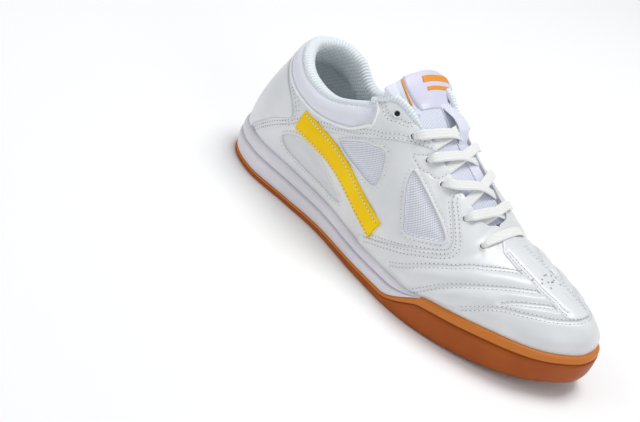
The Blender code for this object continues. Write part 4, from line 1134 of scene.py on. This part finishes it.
def sew_upper(sewing):
    """Every stitched row of the leather on both sides."""
    for side in (1, -1):
        for places, count in STITCHED:
            for row in range(count):
                sewing.on_upper(on_side(places, side), side * row * ROW_STEP)
        for places in RIDGE_ROWS:
            for shift in (-0.5, 0.5):
                sewing.on_upper(on_side(places, side), shift * ROW_STEP)
        for border in WINDOWS:
            places = closed_places(on_side(border, side), 1)
            sewing.on_upper(places, side * 2.2 * MM, 0.0)
        for shift in (2.0, 4.6):
            sewing.on_upper(on_side(COUNTER[:-1], side), -side * shift * MM)
        for shift in (1.6, 4.0):
            sewing.on_upper(on_side(CENTRE_PANEL[1:], side), side * shift * MM)
        sewing.pinholes(on_side(PINHOLES, side))


# Side bands

# Half of a band's section: share of its width and height in millimetres
BAND_PROFILE = [
    (-0.5, 0.0), (-0.5, 0.75), (-0.485, 1.15), (-0.45, 1.4), (-0.25, 1.5), (0.0, 1.55),
]


def build_side_bands(look, sewing):
    """Plain stitched band on each side, with softly rounded edges."""
    profile = BAND_PROFILE + [(-share, rise) for share, rise in BAND_PROFILE[-2::-1]]
    for side, name in ((1, "band_outer"), (-1, "band_inner")):
        number, height, direction = even_places(on_side(SIDE_BAND, side), 1.2 * MM)
        rows = []
        for share, rise in profile:
            n, h = aside(number, height, direction, share * BAND_WIDTH)
            rows.append(raised(n, h, rise * MM))
        count = len(number)
        faces = list(ring_faces(len(rows), count, closed=False))
        for column in (0, count - 1):
            faces.append([row * count + column for row in range(len(rows))])
        band = add_object(name, np.concatenate(rows), faces, look)
        face_outward(band)
        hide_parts("side_band_outer" if side > 0 else "side_band_inner")
        for share in (-0.37, 0.37):
            places = even_places(on_side(SIDE_BAND, side), STITCH_PITCH, 2.2 * MM)
            n, h = aside(*places, share * BAND_WIDTH)
            sewing.row(raised(n, h, 1.5 * MM), normal(n, h))


# Collar

# Section of the roll: share down to its seam and share of its thickness inward
COLLAR_SECTION = [
    (1.00, 0.12), (0.95, -0.01), (0.86, -0.12), (0.72, -0.18), (0.56, -0.18), (0.42, -0.12),
    (0.33, -0.03), (0.29, 0.06), (0.26, 0.02), (0.20, -0.03), (0.11, 0.03), (0.04, 0.18),
    (0.005, 0.38), (0.00, 0.56), (0.03, 0.76), (0.12, 0.94),
    (0.30, 1.06), (0.55, 1.12), (0.85, 1.12), (1.10, 1.05), (1.40, 0.85), (1.65, 0.60),
]
COLLAR_SPLIT = 7
COLLAR_RIM = 13


def build_collar(look, lining, piping):
    """Padded roll round the ankle with a piped seam and a ribbed lining."""
    numbers = np.linspace(-COLLAR_EDGE_RIB, COLLAR_EDGE_RIB, 260)
    seam = INSTEP_HEIGHT * hermite_table(np.abs(numbers), COLLAR_DEPTH)
    under_eyelets = ease(np.abs(numbers), 4.05, 4.40)
    rows = []
    roll = []
    for down, inward in COLLAR_SECTION:
        drop = seam * min(down, 1.0) + max(down - 1.0, 0.0) * COLLAR_TUCK
        plain = inward * COLLAR_THICKNESS
        depth = plain + (max(plain, 1.3 * MM) - plain) * under_eyelets
        rows.append(raised(numbers, height_below_end(numbers, drop), -depth))
        roll.extend([1.0 - ease(inward, 0.75, 1.10) * (down > 0.2)] * len(numbers))
    faces = ring_faces(len(rows), len(numbers), closed=False)
    split = COLLAR_SPLIT * (len(numbers) - 1)
    points = np.concatenate(rows)
    painted = {"along": np.tile(runs(rows[COLLAR_RIM]) / MM, len(rows)), "roll": roll}
    outer = add_object("collar_cloth", points, faces[:split], look)
    inner = add_object("collar_lining", points, faces[split:], lining, True, painted)
    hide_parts("collar")
    line = collar_line()
    dense = spline(line, np.linspace(0, len(line) - 1, 420), closed=False)
    number, height = dense[dense[:, 1] < PIPING_END].T
    path = raised(number, height, 0.45 * MM)
    tube("collar_piping", path, np.full(len(path), 1.0 * MM), piping)
    for side, name in ((1, "throat_roll_outer"), (-1, "throat_roll_inner")):
        numbers = np.linspace(4.0, 5.9, 90)
        path = raised(numbers if side > 0 else RIB_COUNT - numbers, 0.99, -0.5 * MM)
        radii = ROLL_RADIUS * (1 - 0.75 * ease(numbers, 5.3, 5.9))
        along = np.repeat(runs(path) / MM, ROLL_SIDES)
        painted = {"along": along, "roll": np.ones(len(along))}
        tube(name, path, radii, lining, ROLL_SIDES, painted)


def tube(name, path, radii, look, sides=8, painted=None):
    """Round cord along a path, with a radius at each of its points."""
    up = np.array([0.0, 0.0, 1.0])
    sections = []
    for point, way, radius in zip(path, unit(np.gradient(path, axis=0)), radii):
        side = unit(np.cross(way, up))
        up = np.cross(side, way)
        ring = []
        for corner in range(sides):
            angle = 2 * math.pi * corner / sides
            ring.append(point + (side * math.cos(angle) + up * math.sin(angle)) * radius)
        sections.append(np.array(ring))
    made = loft(name, sections, look, True, painted)


# Tongue

def tongue_sections():
    """Upper face of the tongue: rows of seven points from outer to inner side."""
    rows = []
    for rib, lift, under in TONGUE:
        ribs = np.array([rib, RIB_COUNT - rib])
        reach = under * BALL_WIDTH
        side = raised(ribs, height_below_end(ribs, reach), -TONGUE_CLEAR - 1.4 * MM)
        near = raised(ribs, height_below_end(ribs, reach / 2), -TONGUE_CLEAR - 0.8 * MM)
        edge = raised(ribs, 1.0, -TONGUE_CLEAR)
        middle = edge.mean(axis=0) + np.array([0, 0, lift * BALL_WIDTH])
        rows.append([side[0], near[0], edge[0], middle, edge[1], near[1], side[1]])
    for row, (x, z, y, half, drop, back, lean) in enumerate(TONGUE_TOP):
        free = row / (len(TONGUE_TOP) - 1)
        near = 0.90 - 0.18 * free
        inner = 0.78 - 0.38 * free
        points = []
        for share in (-1, -near, -inner, 0, inner, near, 1):
            fall = drop + lean * (share > 0)
            points.append((
                x * LENGTH - back * LENGTH * share * share,
                (y + half * share) * BALL_WIDTH,
                z * INSTEP_HEIGHT - fall * BALL_WIDTH * share * share,
            ))
        rows.append(points)
    return np.array(rows)


def on_tongue(rows, position, across):
    """Points on the tongue's face and their upward sides."""
    def face(place, share):
        place = min(max(place, 0), len(rows) - 1)
        line = spline(rows.reshape(len(rows), -1), [place], closed=False).reshape(-1, 3)
        return spline(line, (np.clip(share, -1, 1) + 1) * 3, closed=False)

    ahead = face(position + 0.08, across) - face(position - 0.08, across)
    over = face(position, across + 0.03) - face(position, across - 0.03)
    side = unit(np.cross(ahead, over))
    if side[len(side) // 2, 2] < 0:
        side = -side
    return face(position, across), side


def build_tongue(look, satin, orange, ribbon):
    """Padded mesh tongue with its folded label and lace keeper."""
    rows = tongue_sections()
    top = len(rows) - 1
    across = np.linspace(-1, 1, 61)
    places = np.linspace(0, top, 150)
    faces = [on_tongue(rows, place, across) for place in places]
    lengths = runs(np.array([point[30] for point, side in faces]))
    edge = np.clip((1 - np.abs(across)) / 0.10, 0, 1)
    channel = bell(np.abs(across) - 0.66, 0.05)
    sections = []
    painted = {"knit": [], "smooth": []}
    for place, length, (point, side) in zip(places, lengths, faces):
        run = runs(point)
        knit = (0.42 * (run - run[30]) - 0.91 * length) / MM
        smooth = ease(np.abs(across), 0.52, 0.60) * ease(place, 8.2, 9.0)
        painted["knit"].extend([*knit, *knit[::-1]])
        painted["smooth"].extend([*smooth, *smooth[::-1]])
        body = np.sqrt(1 - (1 - edge) ** 2) * (1 - 0.75 * ease(place, top - 0.7, top) ** 2)
        puff = 0.5 * MM - 0.9 * MM * channel * (place > 8)
        high = point + side * (puff * body - 0.9 * MM * (1 - body))[:, None]
        low = point - side * (TONGUE_THICKNESS * (0.45 + 0.55 * body))[:, None]
        sections.append(np.concatenate([high, low[::-1]]))
    tongue = loft("tongue_body", sections, look, True, painted)
    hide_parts("tongue")
    label = partial(strip, rows=rows, slot="label_satin")
    keeper = partial(strip, rows=rows, slot="keeper_ribbon", look=ribbon)
    label("label", (top - 4.9, top), (-0.20, 0.88), (-0.50, 0.88), [1.0], 0.9, look=satin,
          node="tongue_label", skew=0.7)
    label("label_edge", (top - 3.6, top - 0.5), (-0.36, -0.32), (-0.53, -0.49), [1.2], 0.6,
          look=orange)
    label("label_bar", (top - 1.9, top - 1.1), (-0.10, 0.56), (-0.10, 0.56), [1.3], 0.6,
          look=orange)
    label("label_bar_low", (top - 2.9, top - 2.5), (-0.06, 0.40), (-0.06, 0.40), [1.3], 0.6,
          look=orange)
    keeper("keeper", (3.0, top - 4.6), (0.10, 0.32), (0.10, 0.36), [1.2], 0.7,
           node="lace_keeper")
    keeper("keeper_loop", (5.9, 8.1), (0.11, 0.31), (0.11, 0.33), KEEPER_LIFTS, 0.6)


def strip(name, span, low, high, lift, thickness, rows, look, slot, node=None, skew=0.0):
    """Flat strip on the tongue, its sides given at both ends; heights in millimetres."""
    sections = []
    for share in np.linspace(0, 1, 40):
        rise = np.interp(share, np.linspace(0, 1, len(lift)), lift)
        left, right = np.array(low) + (np.array(high) - np.array(low)) * share
        upper = []
        lower = []
        for across in np.linspace(left, right, 17):
            place = span[0] + (span[1] - span[0]) * share - skew * (1 - share) * across
            place = min(max(place, 0), len(rows) - 1)
            point, side = on_tongue(rows, place, np.array([across]))
            upper.append(point[0] + side[0] * rise * MM)
            lower.append(upper[-1] - side[0] * thickness * MM)
        sections.append(np.array(upper + lower[::-1]))
    made = loft(name, sections, look)
    if node:
        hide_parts(node)


# Laces

def lace(name, points, sides, look, node=None, pinch=(0.45, 0.62, 1.0)):
    """Flat woven lace through a few places, pinched where it leaves its hole."""
    points = np.array(points)
    sides = np.array(sides)
    fine = np.linspace(0, len(points) - 1, 12 * (len(points) - 1) + 1)
    spread = np.interp(fine, np.arange(len(pinch)), pinch)
    points = spline(points, fine, closed=False)
    sides = spline(sides, fine, closed=False)
    along = unit(np.gradient(points, axis=0))
    across = unit(np.cross(sides, along))
    up = np.cross(along, across)
    sections = []
    for point, cross, rise, wide in zip(points, across, up, spread):
        ring = []
        for corner in range(40):
            angle = 2 * math.pi * corner / 40
            flat = math.copysign(abs(math.cos(angle)) ** 0.75, math.cos(angle))
            tall = math.copysign(abs(math.sin(angle)) ** 0.75, math.sin(angle))
            tall *= 0.84 + 0.16 * math.cos(flat * 3 * math.pi)
            thick = LACE_THICKNESS / 2 * (0.6 + 0.55 / max(wide, 0.5))
            ring.append(point + cross * flat * wide * LACE_WIDTH / 2 + rise * (tall + 1) * thick)
        sections.append(np.array(ring))
    made = loft(name, sections, look)
    if node:
        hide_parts(node)


def build_laces(look):
    """Crossings that leave the eyelets, and the bar over the lowest pair."""
    places = {1: eyelet_places(1), -1: eyelet_places(-1)}
    for level in range(1, len(EYELET_RIBS) - 1):
        step = EYELET_RIBS[level + 1] - EYELET_RIBS[level]
        far_rib = min(EYELET_RIBS[level] + 0.75 * step, CREST_FIRST - 1.1)
        for side in (-1, 1):
            number, share = places[side][level]
            over = 1.4 * MM if side > 0 else 0.0
            far = far_rib if side < 0 else RIB_COUNT - far_rib
            node = "lace_crossing_" + str(level) if side < 0 else None
            lace("lace_%d_%s" % (level, "over" if side > 0 else "under"),
                 *lace_path(number, share, far, over), look, node)
    number, share = places[1][-1]
    inner_number, inner_share = places[-1][-1]
    crest = (number + CREST_FIRST) / 2 + 0.55
    ribs = [number, number, (number + crest) / 2, crest]
    ribs += [(RIB_COUNT - crest + inner_number) / 2, inner_number, inner_number]
    shares = [share, share, (1 + share) / 2, 1.0, (1 + inner_share) / 2, inner_share, inner_share]
    lifts = np.array([-3.0, 0.4, 1.2, 1.2, 1.2, 0.4, -3.0]) * MM
    ribs = np.array(ribs)
    shares = np.array(shares)
    points = surface(ribs, shares)
    sides = normal(ribs, np.minimum(shares, 0.97))
    sides[3] = unit(sides[2] + sides[4])
    points = points + sides * lifts[:, None]
    for end, near, after in ((0, 1, 2), (-1, -2, -3)):
        way = points[after] - points[end]
        way = unit(way - sides[end] * (way @ sides[end]))
        points[end] += way * 1.4 * MM
        points[near] += way * 3.2 * MM
    lace("lace_straight", points, sides, look, "lace_bar")


def lace_path(number, share, far_rib, over):
    """Places of a lace from inside its eyelet to under the far facing."""
    side = normal([number], [share])[0]
    hole = surface([number], [share])[0]
    edge_rib = number + LACE_LEAD * (RIB_COUNT - far_rib - number)
    edge = raised([edge_rib], [1.0], 1.3 * MM)[0]
    edge_side = normal([edge_rib], [1.0])[0]
    far = surface([far_rib], [1.0])[0]
    far_side = normal([far_rib], [1.0])[0]
    inward = unit(edge - far)
    up = unit(edge_side + far_side)
    finish = far + inward * 3.0 * MM - far_side * 0.8 * UPPER_WALL
    tucked = far - inward * 2.0 * MM - far_side * 3.4 * MM
    middle = (edge + finish) / 2 + up * (2.6 * MM + over)
    outward = unit(hole - edge)
    points = [
        hole - outward * 1.2 * MM - side * 2.6 * MM,
        hole - outward * 2.5 * MM + side * 0.4 * MM,
        (hole + edge) / 2 + side * 1.5 * MM,
        edge,
        middle,
        finish,
        tucked,
    ]
    sides = [side + outward, side, side, side + edge_side + up, up, far_side + up, far_side + up]
    return points, unit(np.array(sides))


# Sole

SOLE_POINTS = 300
TREAD_BARS = 5
CLIP_REACH = 16 * MM

# Rings of the foam's side: inset, and share of the height from the gum to the rim
FOAM_RINGS = [
    (0.0020, 0.00), (0.0008, 0.03), (0.0002, 0.12), (0.0000, 0.30), (0.0000, 0.47),
    (0.0004, 0.52), (0.0022, 0.555), (0.0024, 0.585), (0.0013, 0.62), (0.0009, 0.67),
    (0.0008, 0.80), (0.0011, 0.88), (0.0018, 0.95), (0.0028, 1.00), (0.0048, 0.99),
    (0.0050, 0.80),
]
# Insets of the foam's grooved rings, which are painted grey as shade
FOAM_SHADED_GROOVE = (0.0022, 0.0024)

# Rings of the gum: inset, and shares of its side's height at the heel and the forefoot
GUM_RINGS = [
    (0.0048, 1.00, 1.00), (0.0024, 1.00, 1.00), (0.0014, 0.97, 0.97), (0.0009, 0.90, 0.93),
    (0.0004, 0.76, 0.80), (0.0004, 0.70, 0.76), (0.0016, 0.68, 0.75), (0.0016, 0.66, 0.73),
    (0.0001, 0.63, 0.71), (0.0000, 0.50, 0.60), (0.0001, 0.20, 0.35), (0.0006, 0.05, 0.12),
    (0.0014, 0.00, 0.00), (0.0045, 0.00, 0.00),
]
# Rings of the gum's bevelled top edge, which are painted lighter as light from above
GUM_LIT_BEVEL_RINGS = 5
INSOLE_INSET = 0.0067
INSOLE_RISE = 0.0033


def side_level(x, low, high):
    """Level on the gum's side between the underside and its top edge."""
    climb = (np.asarray(x) / LENGTH - GUM_CLIMB_START) / (GUM_CLIMB_END - GUM_CLIMB_START)
    share = low + (high - low) * np.clip(climb, 0, 1)
    return underside(x) + (gum_side_top(x) - underside(x)) * share


def foam_level(x, share):
    """Level on the foam's side between the gum's edge and the rim."""
    low = gum_side_top(x) - 0.3 * MM * gum_climb(x)
    return low + (rim_top(x) - low) * share


def sole_ring(inset, height, *shares):
    """Points of one ring along the outline, at a height that follows from x."""
    plan = outline_at(np.arange(SOLE_POINTS) * len(OUTLINE) / SOLE_POINTS, inset)
    return np.column_stack([plan, height(plan[:, 0], *shares)])


def build_sole(foam, gum):
    """White foam with its grooved band, and the gum cup."""
    points = [sole_ring(inset, foam_level, share) for inset, share in FOAM_RINGS]
    for ring in points:
        tip = ease(ring[:, 0] / LENGTH, GUM_CLIMB_END - 0.012, GUM_CLIMB_END)
        middle = np.array([ring[:, 0].mean(), 0.0])
        ring[:, :2] += unit(middle - ring[:, :2]) * (tip * 2.6 * MM)[:, None]
        ring[:, 2] -= tip * 1.0 * MM
    faces = ring_faces(len(points), SOLE_POINTS)
    # Painted shade: the grooved rings of the foam are marked for a greyer colour
    groove_shade = np.repeat([inset in FOAM_SHADED_GROOVE for inset, share in FOAM_RINGS], SOLE_POINTS)
    painted = {"groove_shade": groove_shade}
    made = add_object("foam_side", np.concatenate(points), faces, foam, True, painted)
    face_outward(made)
    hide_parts("midsole")
    points = [sole_ring(inset, side_level, low, high) for inset, low, high in GUM_RINGS]
    points.append(points[-1] + np.array([0, 0, TREAD_DEPTH]))
    faces = list(ring_faces(len(points), SOLE_POINTS))
    faces += cap_faces((len(points) - 1) * SOLE_POINTS)
    # Painted light: the top rings of the gum are marked for a lighter colour
    lit_bevel = np.arange(len(points) * SOLE_POINTS) < GUM_LIT_BEVEL_RINGS * SOLE_POINTS
    made = add_object("gum_cup", np.concatenate(points), faces, gum, True, {"lit_bevel": lit_bevel})
    face_outward(made)
    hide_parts("outsole")


def build_tread(look):
    """Hexagon lugs, each of three fields of fine parallel bars."""
    size = LUG_SIZE * 0.97
    pitch_y = math.sqrt(3) * LUG_SIZE + LUG_CHANNEL
    pitch_x = pitch_y * math.sqrt(3) / 2
    border = outline_at(np.arange(160) / 8, TREAD_BORDER + 0.3 * MM)
    points = []
    faces = []
    for column in range(int(LENGTH / pitch_x) + 2):
        for row in range(-2, 3):
            middle = np.array([column * pitch_x, (row + 0.5 * (column % 2)) * pitch_y])
            for field in (0, 120, 240):
                turns = np.radians([field + 60, field - 60])
                along, across = size * np.stack([np.cos(turns), np.sin(turns)], axis=1)
                for bar in range(TREAD_BARS):
                    low = middle + along * bar / TREAD_BARS
                    high = middle + along * (bar + 0.64) / TREAD_BARS
                    shape = [low, high, high + across * 0.97, low + across * 0.97]
                    add_bar(points, faces, clipped(shape, border))
    made = add_object("tread_bars", points, faces, look, False)
    face_outward(made)


def clipped(shape, border):
    """Flat shape cut back to the part of it inside the border near it."""
    middle = sum(shape) / len(shape)
    ends = np.roll(border, -1, axis=0)
    away = np.linalg.norm(border - middle, axis=1)
    for index in np.nonzero(away < CLIP_REACH)[0]:
        start = border[index]
        along = ends[index] - start
        inward = np.array([-along[1], along[0]])
        kept = []
        for corner, after in zip(shape, shape[1:] + shape[:1]):
            here = (corner - start) @ inward
            there = (after - start) @ inward
            if here >= 0:
                kept.append(corner)
            if here * there < 0:
                kept.append(corner + (after - corner) * here / (here - there))
        shape = kept
        if len(shape) < 3:
            return []
    inside = inside_border(middle[:1], middle[1:], border)[0]
    if not inside and (away > CLIP_REACH).all():
        return []
    return shape


def add_bar(points, faces, shape):
    """Add one rubber bar under the sole from its flat shape."""
    if len(shape) < 3:
        return
    start = len(points)
    count = len(shape)
    middle = sum(shape) / count
    for inset, height in ((0.0, TREAD_DEPTH + 0.3 * MM), (0.0, 0.25 * MM), (0.25 * MM, 0.0)):
        for corner in shape:
            toward = middle - corner
            place = corner + toward / (np.linalg.norm(toward) + 1e-9) * inset
            points.append((*place, float(underside(place[0])) + height))
    faces.extend(ring_faces(3, count, start=start))
    faces.append(tuple(range(start, start + count)))
    faces.append(tuple(range(start + 2 * count, start + 3 * count)))


def build_insole(look):
    """Textile sheet on the footbed."""
    points = sole_ring(INSOLE_INSET, rim_top)
    points[:, 2] += INSOLE_RISE - RIM_LAP
    made = add_object("sock_liner", points, cap_faces(), look, False)
    face_outward(made)
    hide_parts("insole")


# Camera, lights and floor

FLOOR_SIZE = 6.0

# Camera: angles in degrees, the point it looks at, its distance and its lens
AZIMUTH = 33.26
ELEVATION = 30.96
ROLL = 21.94
TARGET = (0.07748, 0.0, -0.01267)
DISTANCE = 0.95135
LENS = 78.75

# Lights: name, place, size and power
LAMPS = [
    ("key", (0.10, 0.35, 1.30), 0.7, 10.0),
    ("fill", (-0.75, -0.95, 0.75), 1.1, 3.4),
    ("side", (1.10, -0.35, 0.65), 0.8, 2.2),
]
LIT_POINT = Vector((0, 0, 0.04))


def build_stage():
    """Pale floor, soft lights and the photograph's camera."""
    mesh = bpy.data.meshes.new("floor")
    corners = [(x * FLOOR_SIZE, y * FLOOR_SIZE, 0) for x, y in ((-1, -1), (1, -1), (1, 1), (-1, 1))]
    mesh.from_pydata(corners, [], [(0, 1, 2, 3)])
    mesh.materials.append(plain_look("pale_floor", (0.98, 0.98, 0.98), 0.95).material)
    floor = bpy.data.objects.new("floor", mesh)
    bpy.context.scene.collection.objects.link(floor)
    azimuth = math.radians(AZIMUTH)
    elevation = math.radians(ELEVATION)
    roll = math.radians(ROLL)
    back = Vector((
        math.sin(azimuth) * math.cos(elevation),
        -math.cos(azimuth) * math.cos(elevation),
        math.sin(elevation),
    ))
    right = Vector((0, 0, 1)).cross(back).normalized()
    up = back.cross(right)
    turned_right = right * math.cos(roll) + up * math.sin(roll)
    turned_up = up * math.cos(roll) - right * math.sin(roll)
    place = Vector(TARGET) - Vector(MIDDLE) + back * DISTANCE
    camera = bpy.data.cameras.new("camera")
    camera.sensor_width = 36.0
    camera.lens = LENS
    camera.clip_start = 0.01
    rig = bpy.data.objects.new("camera", camera)
    rig.matrix_world = Matrix((
        (turned_right.x, turned_up.x, back.x, place.x),
        (turned_right.y, turned_up.y, back.y, place.y),
        (turned_right.z, turned_up.z, back.z, place.z),
        (0, 0, 0, 1),
    ))
    bpy.context.scene.collection.objects.link(rig)
    bpy.context.scene.camera = rig
    for name, spot, size, power in LAMPS:
        light = bpy.data.lights.new(name, "AREA")
        light.shape = "DISK"
        light.size = size
        light.energy = power
        lamp = bpy.data.objects.new(name, light)
        lamp.location = spot
        toward = LIT_POINT - Vector(spot)
        lamp.rotation_euler = toward.to_track_quat("-Z", "Y").to_euler()
        bpy.context.scene.collection.objects.link(lamp)
    world = bpy.data.worlds.new("studio")
    world.use_nodes = True
    sky = world.node_tree.nodes["Background"]
    sky.inputs["Color"].default_value = (0.95, 0.97, 1.0, 1.0)
    sky.inputs["Strength"].default_value = 0.45
    bpy.context.scene.world = world
    bpy.context.scene.view_settings.view_transform = "Standard"


def main():
    """Build every piece of the visual model."""
    thin = 0.0001
    leather = leather_look("white_leather_skin", (0.80, 0.81, 0.82), (0.74, 0.75, 0.76))
    lining = lining_look()
    piping = leather_look("piping_skin", (0.88, 0.89, 0.90), (0.86, 0.87, 0.88))
    collar = cloth_look("collar_weave", (0.80, 0.81, 0.88), (0.72, 0.73, 0.82), 0.5 * MM, thin)
    tongue = tongue_look()
    satin = cloth_look(
        "label_weave", (0.70, 0.69, 0.84), (0.66, 0.65, 0.81), 0.4 * MM, thin / 2, 0.4
    )
    ribbon = cloth_look(
        "ribbon_weave", (0.76, 0.78, 0.88), (0.70, 0.72, 0.83), 0.5 * MM, thin, 0.5
    )
    laces = cloth_look(
        "lace_weave", (0.84, 0.85, 0.83), (0.77, 0.78, 0.77), 0.5 * MM, thin, 0.7
    )
    orange = plain_look("orange_thread", (0.80, 0.30, 0.02), 0.6)
    yellow = leather_look("yellow_band", (0.98, 0.66, 0.0), (0.94, 0.60, 0.0), 0.0)
    yellow.set("Specular IOR Level", 0.12)
    foam = foam_look()
    gum = gum_look()
    thread = plain_look("white_thread", (0.82, 0.82, 0.82), 0.7)
    # Dark grey of the needle holes and pinholes: painted shade
    hole = plain_look("needle_hole_shade", (0.24, 0.25, 0.27), 0.9)
    # Near black inside the eyelets: painted shade
    depth = plain_look("eyelet_shade", (0.035, 0.04, 0.045), 0.9)
    sock = cloth_look("sock_weave", (0.62, 0.66, 0.68), (0.5, 0.54, 0.56), 1.0 * MM, 0.0002)
    build_stage()
    sewing = Sewing()
    build_upper(upper_look(), lining)
    build_eyelets(leather, depth)
    build_collar(collar, lining, piping)
    build_side_bands(yellow, sewing)
    build_tongue(tongue, satin, orange, ribbon)
    build_laces(laces)
    build_sole(foam, gum)
    build_tread(gum)
    build_insole(sock)
    sew_upper(sewing)
    sewing.finish(thread, hole)


main()
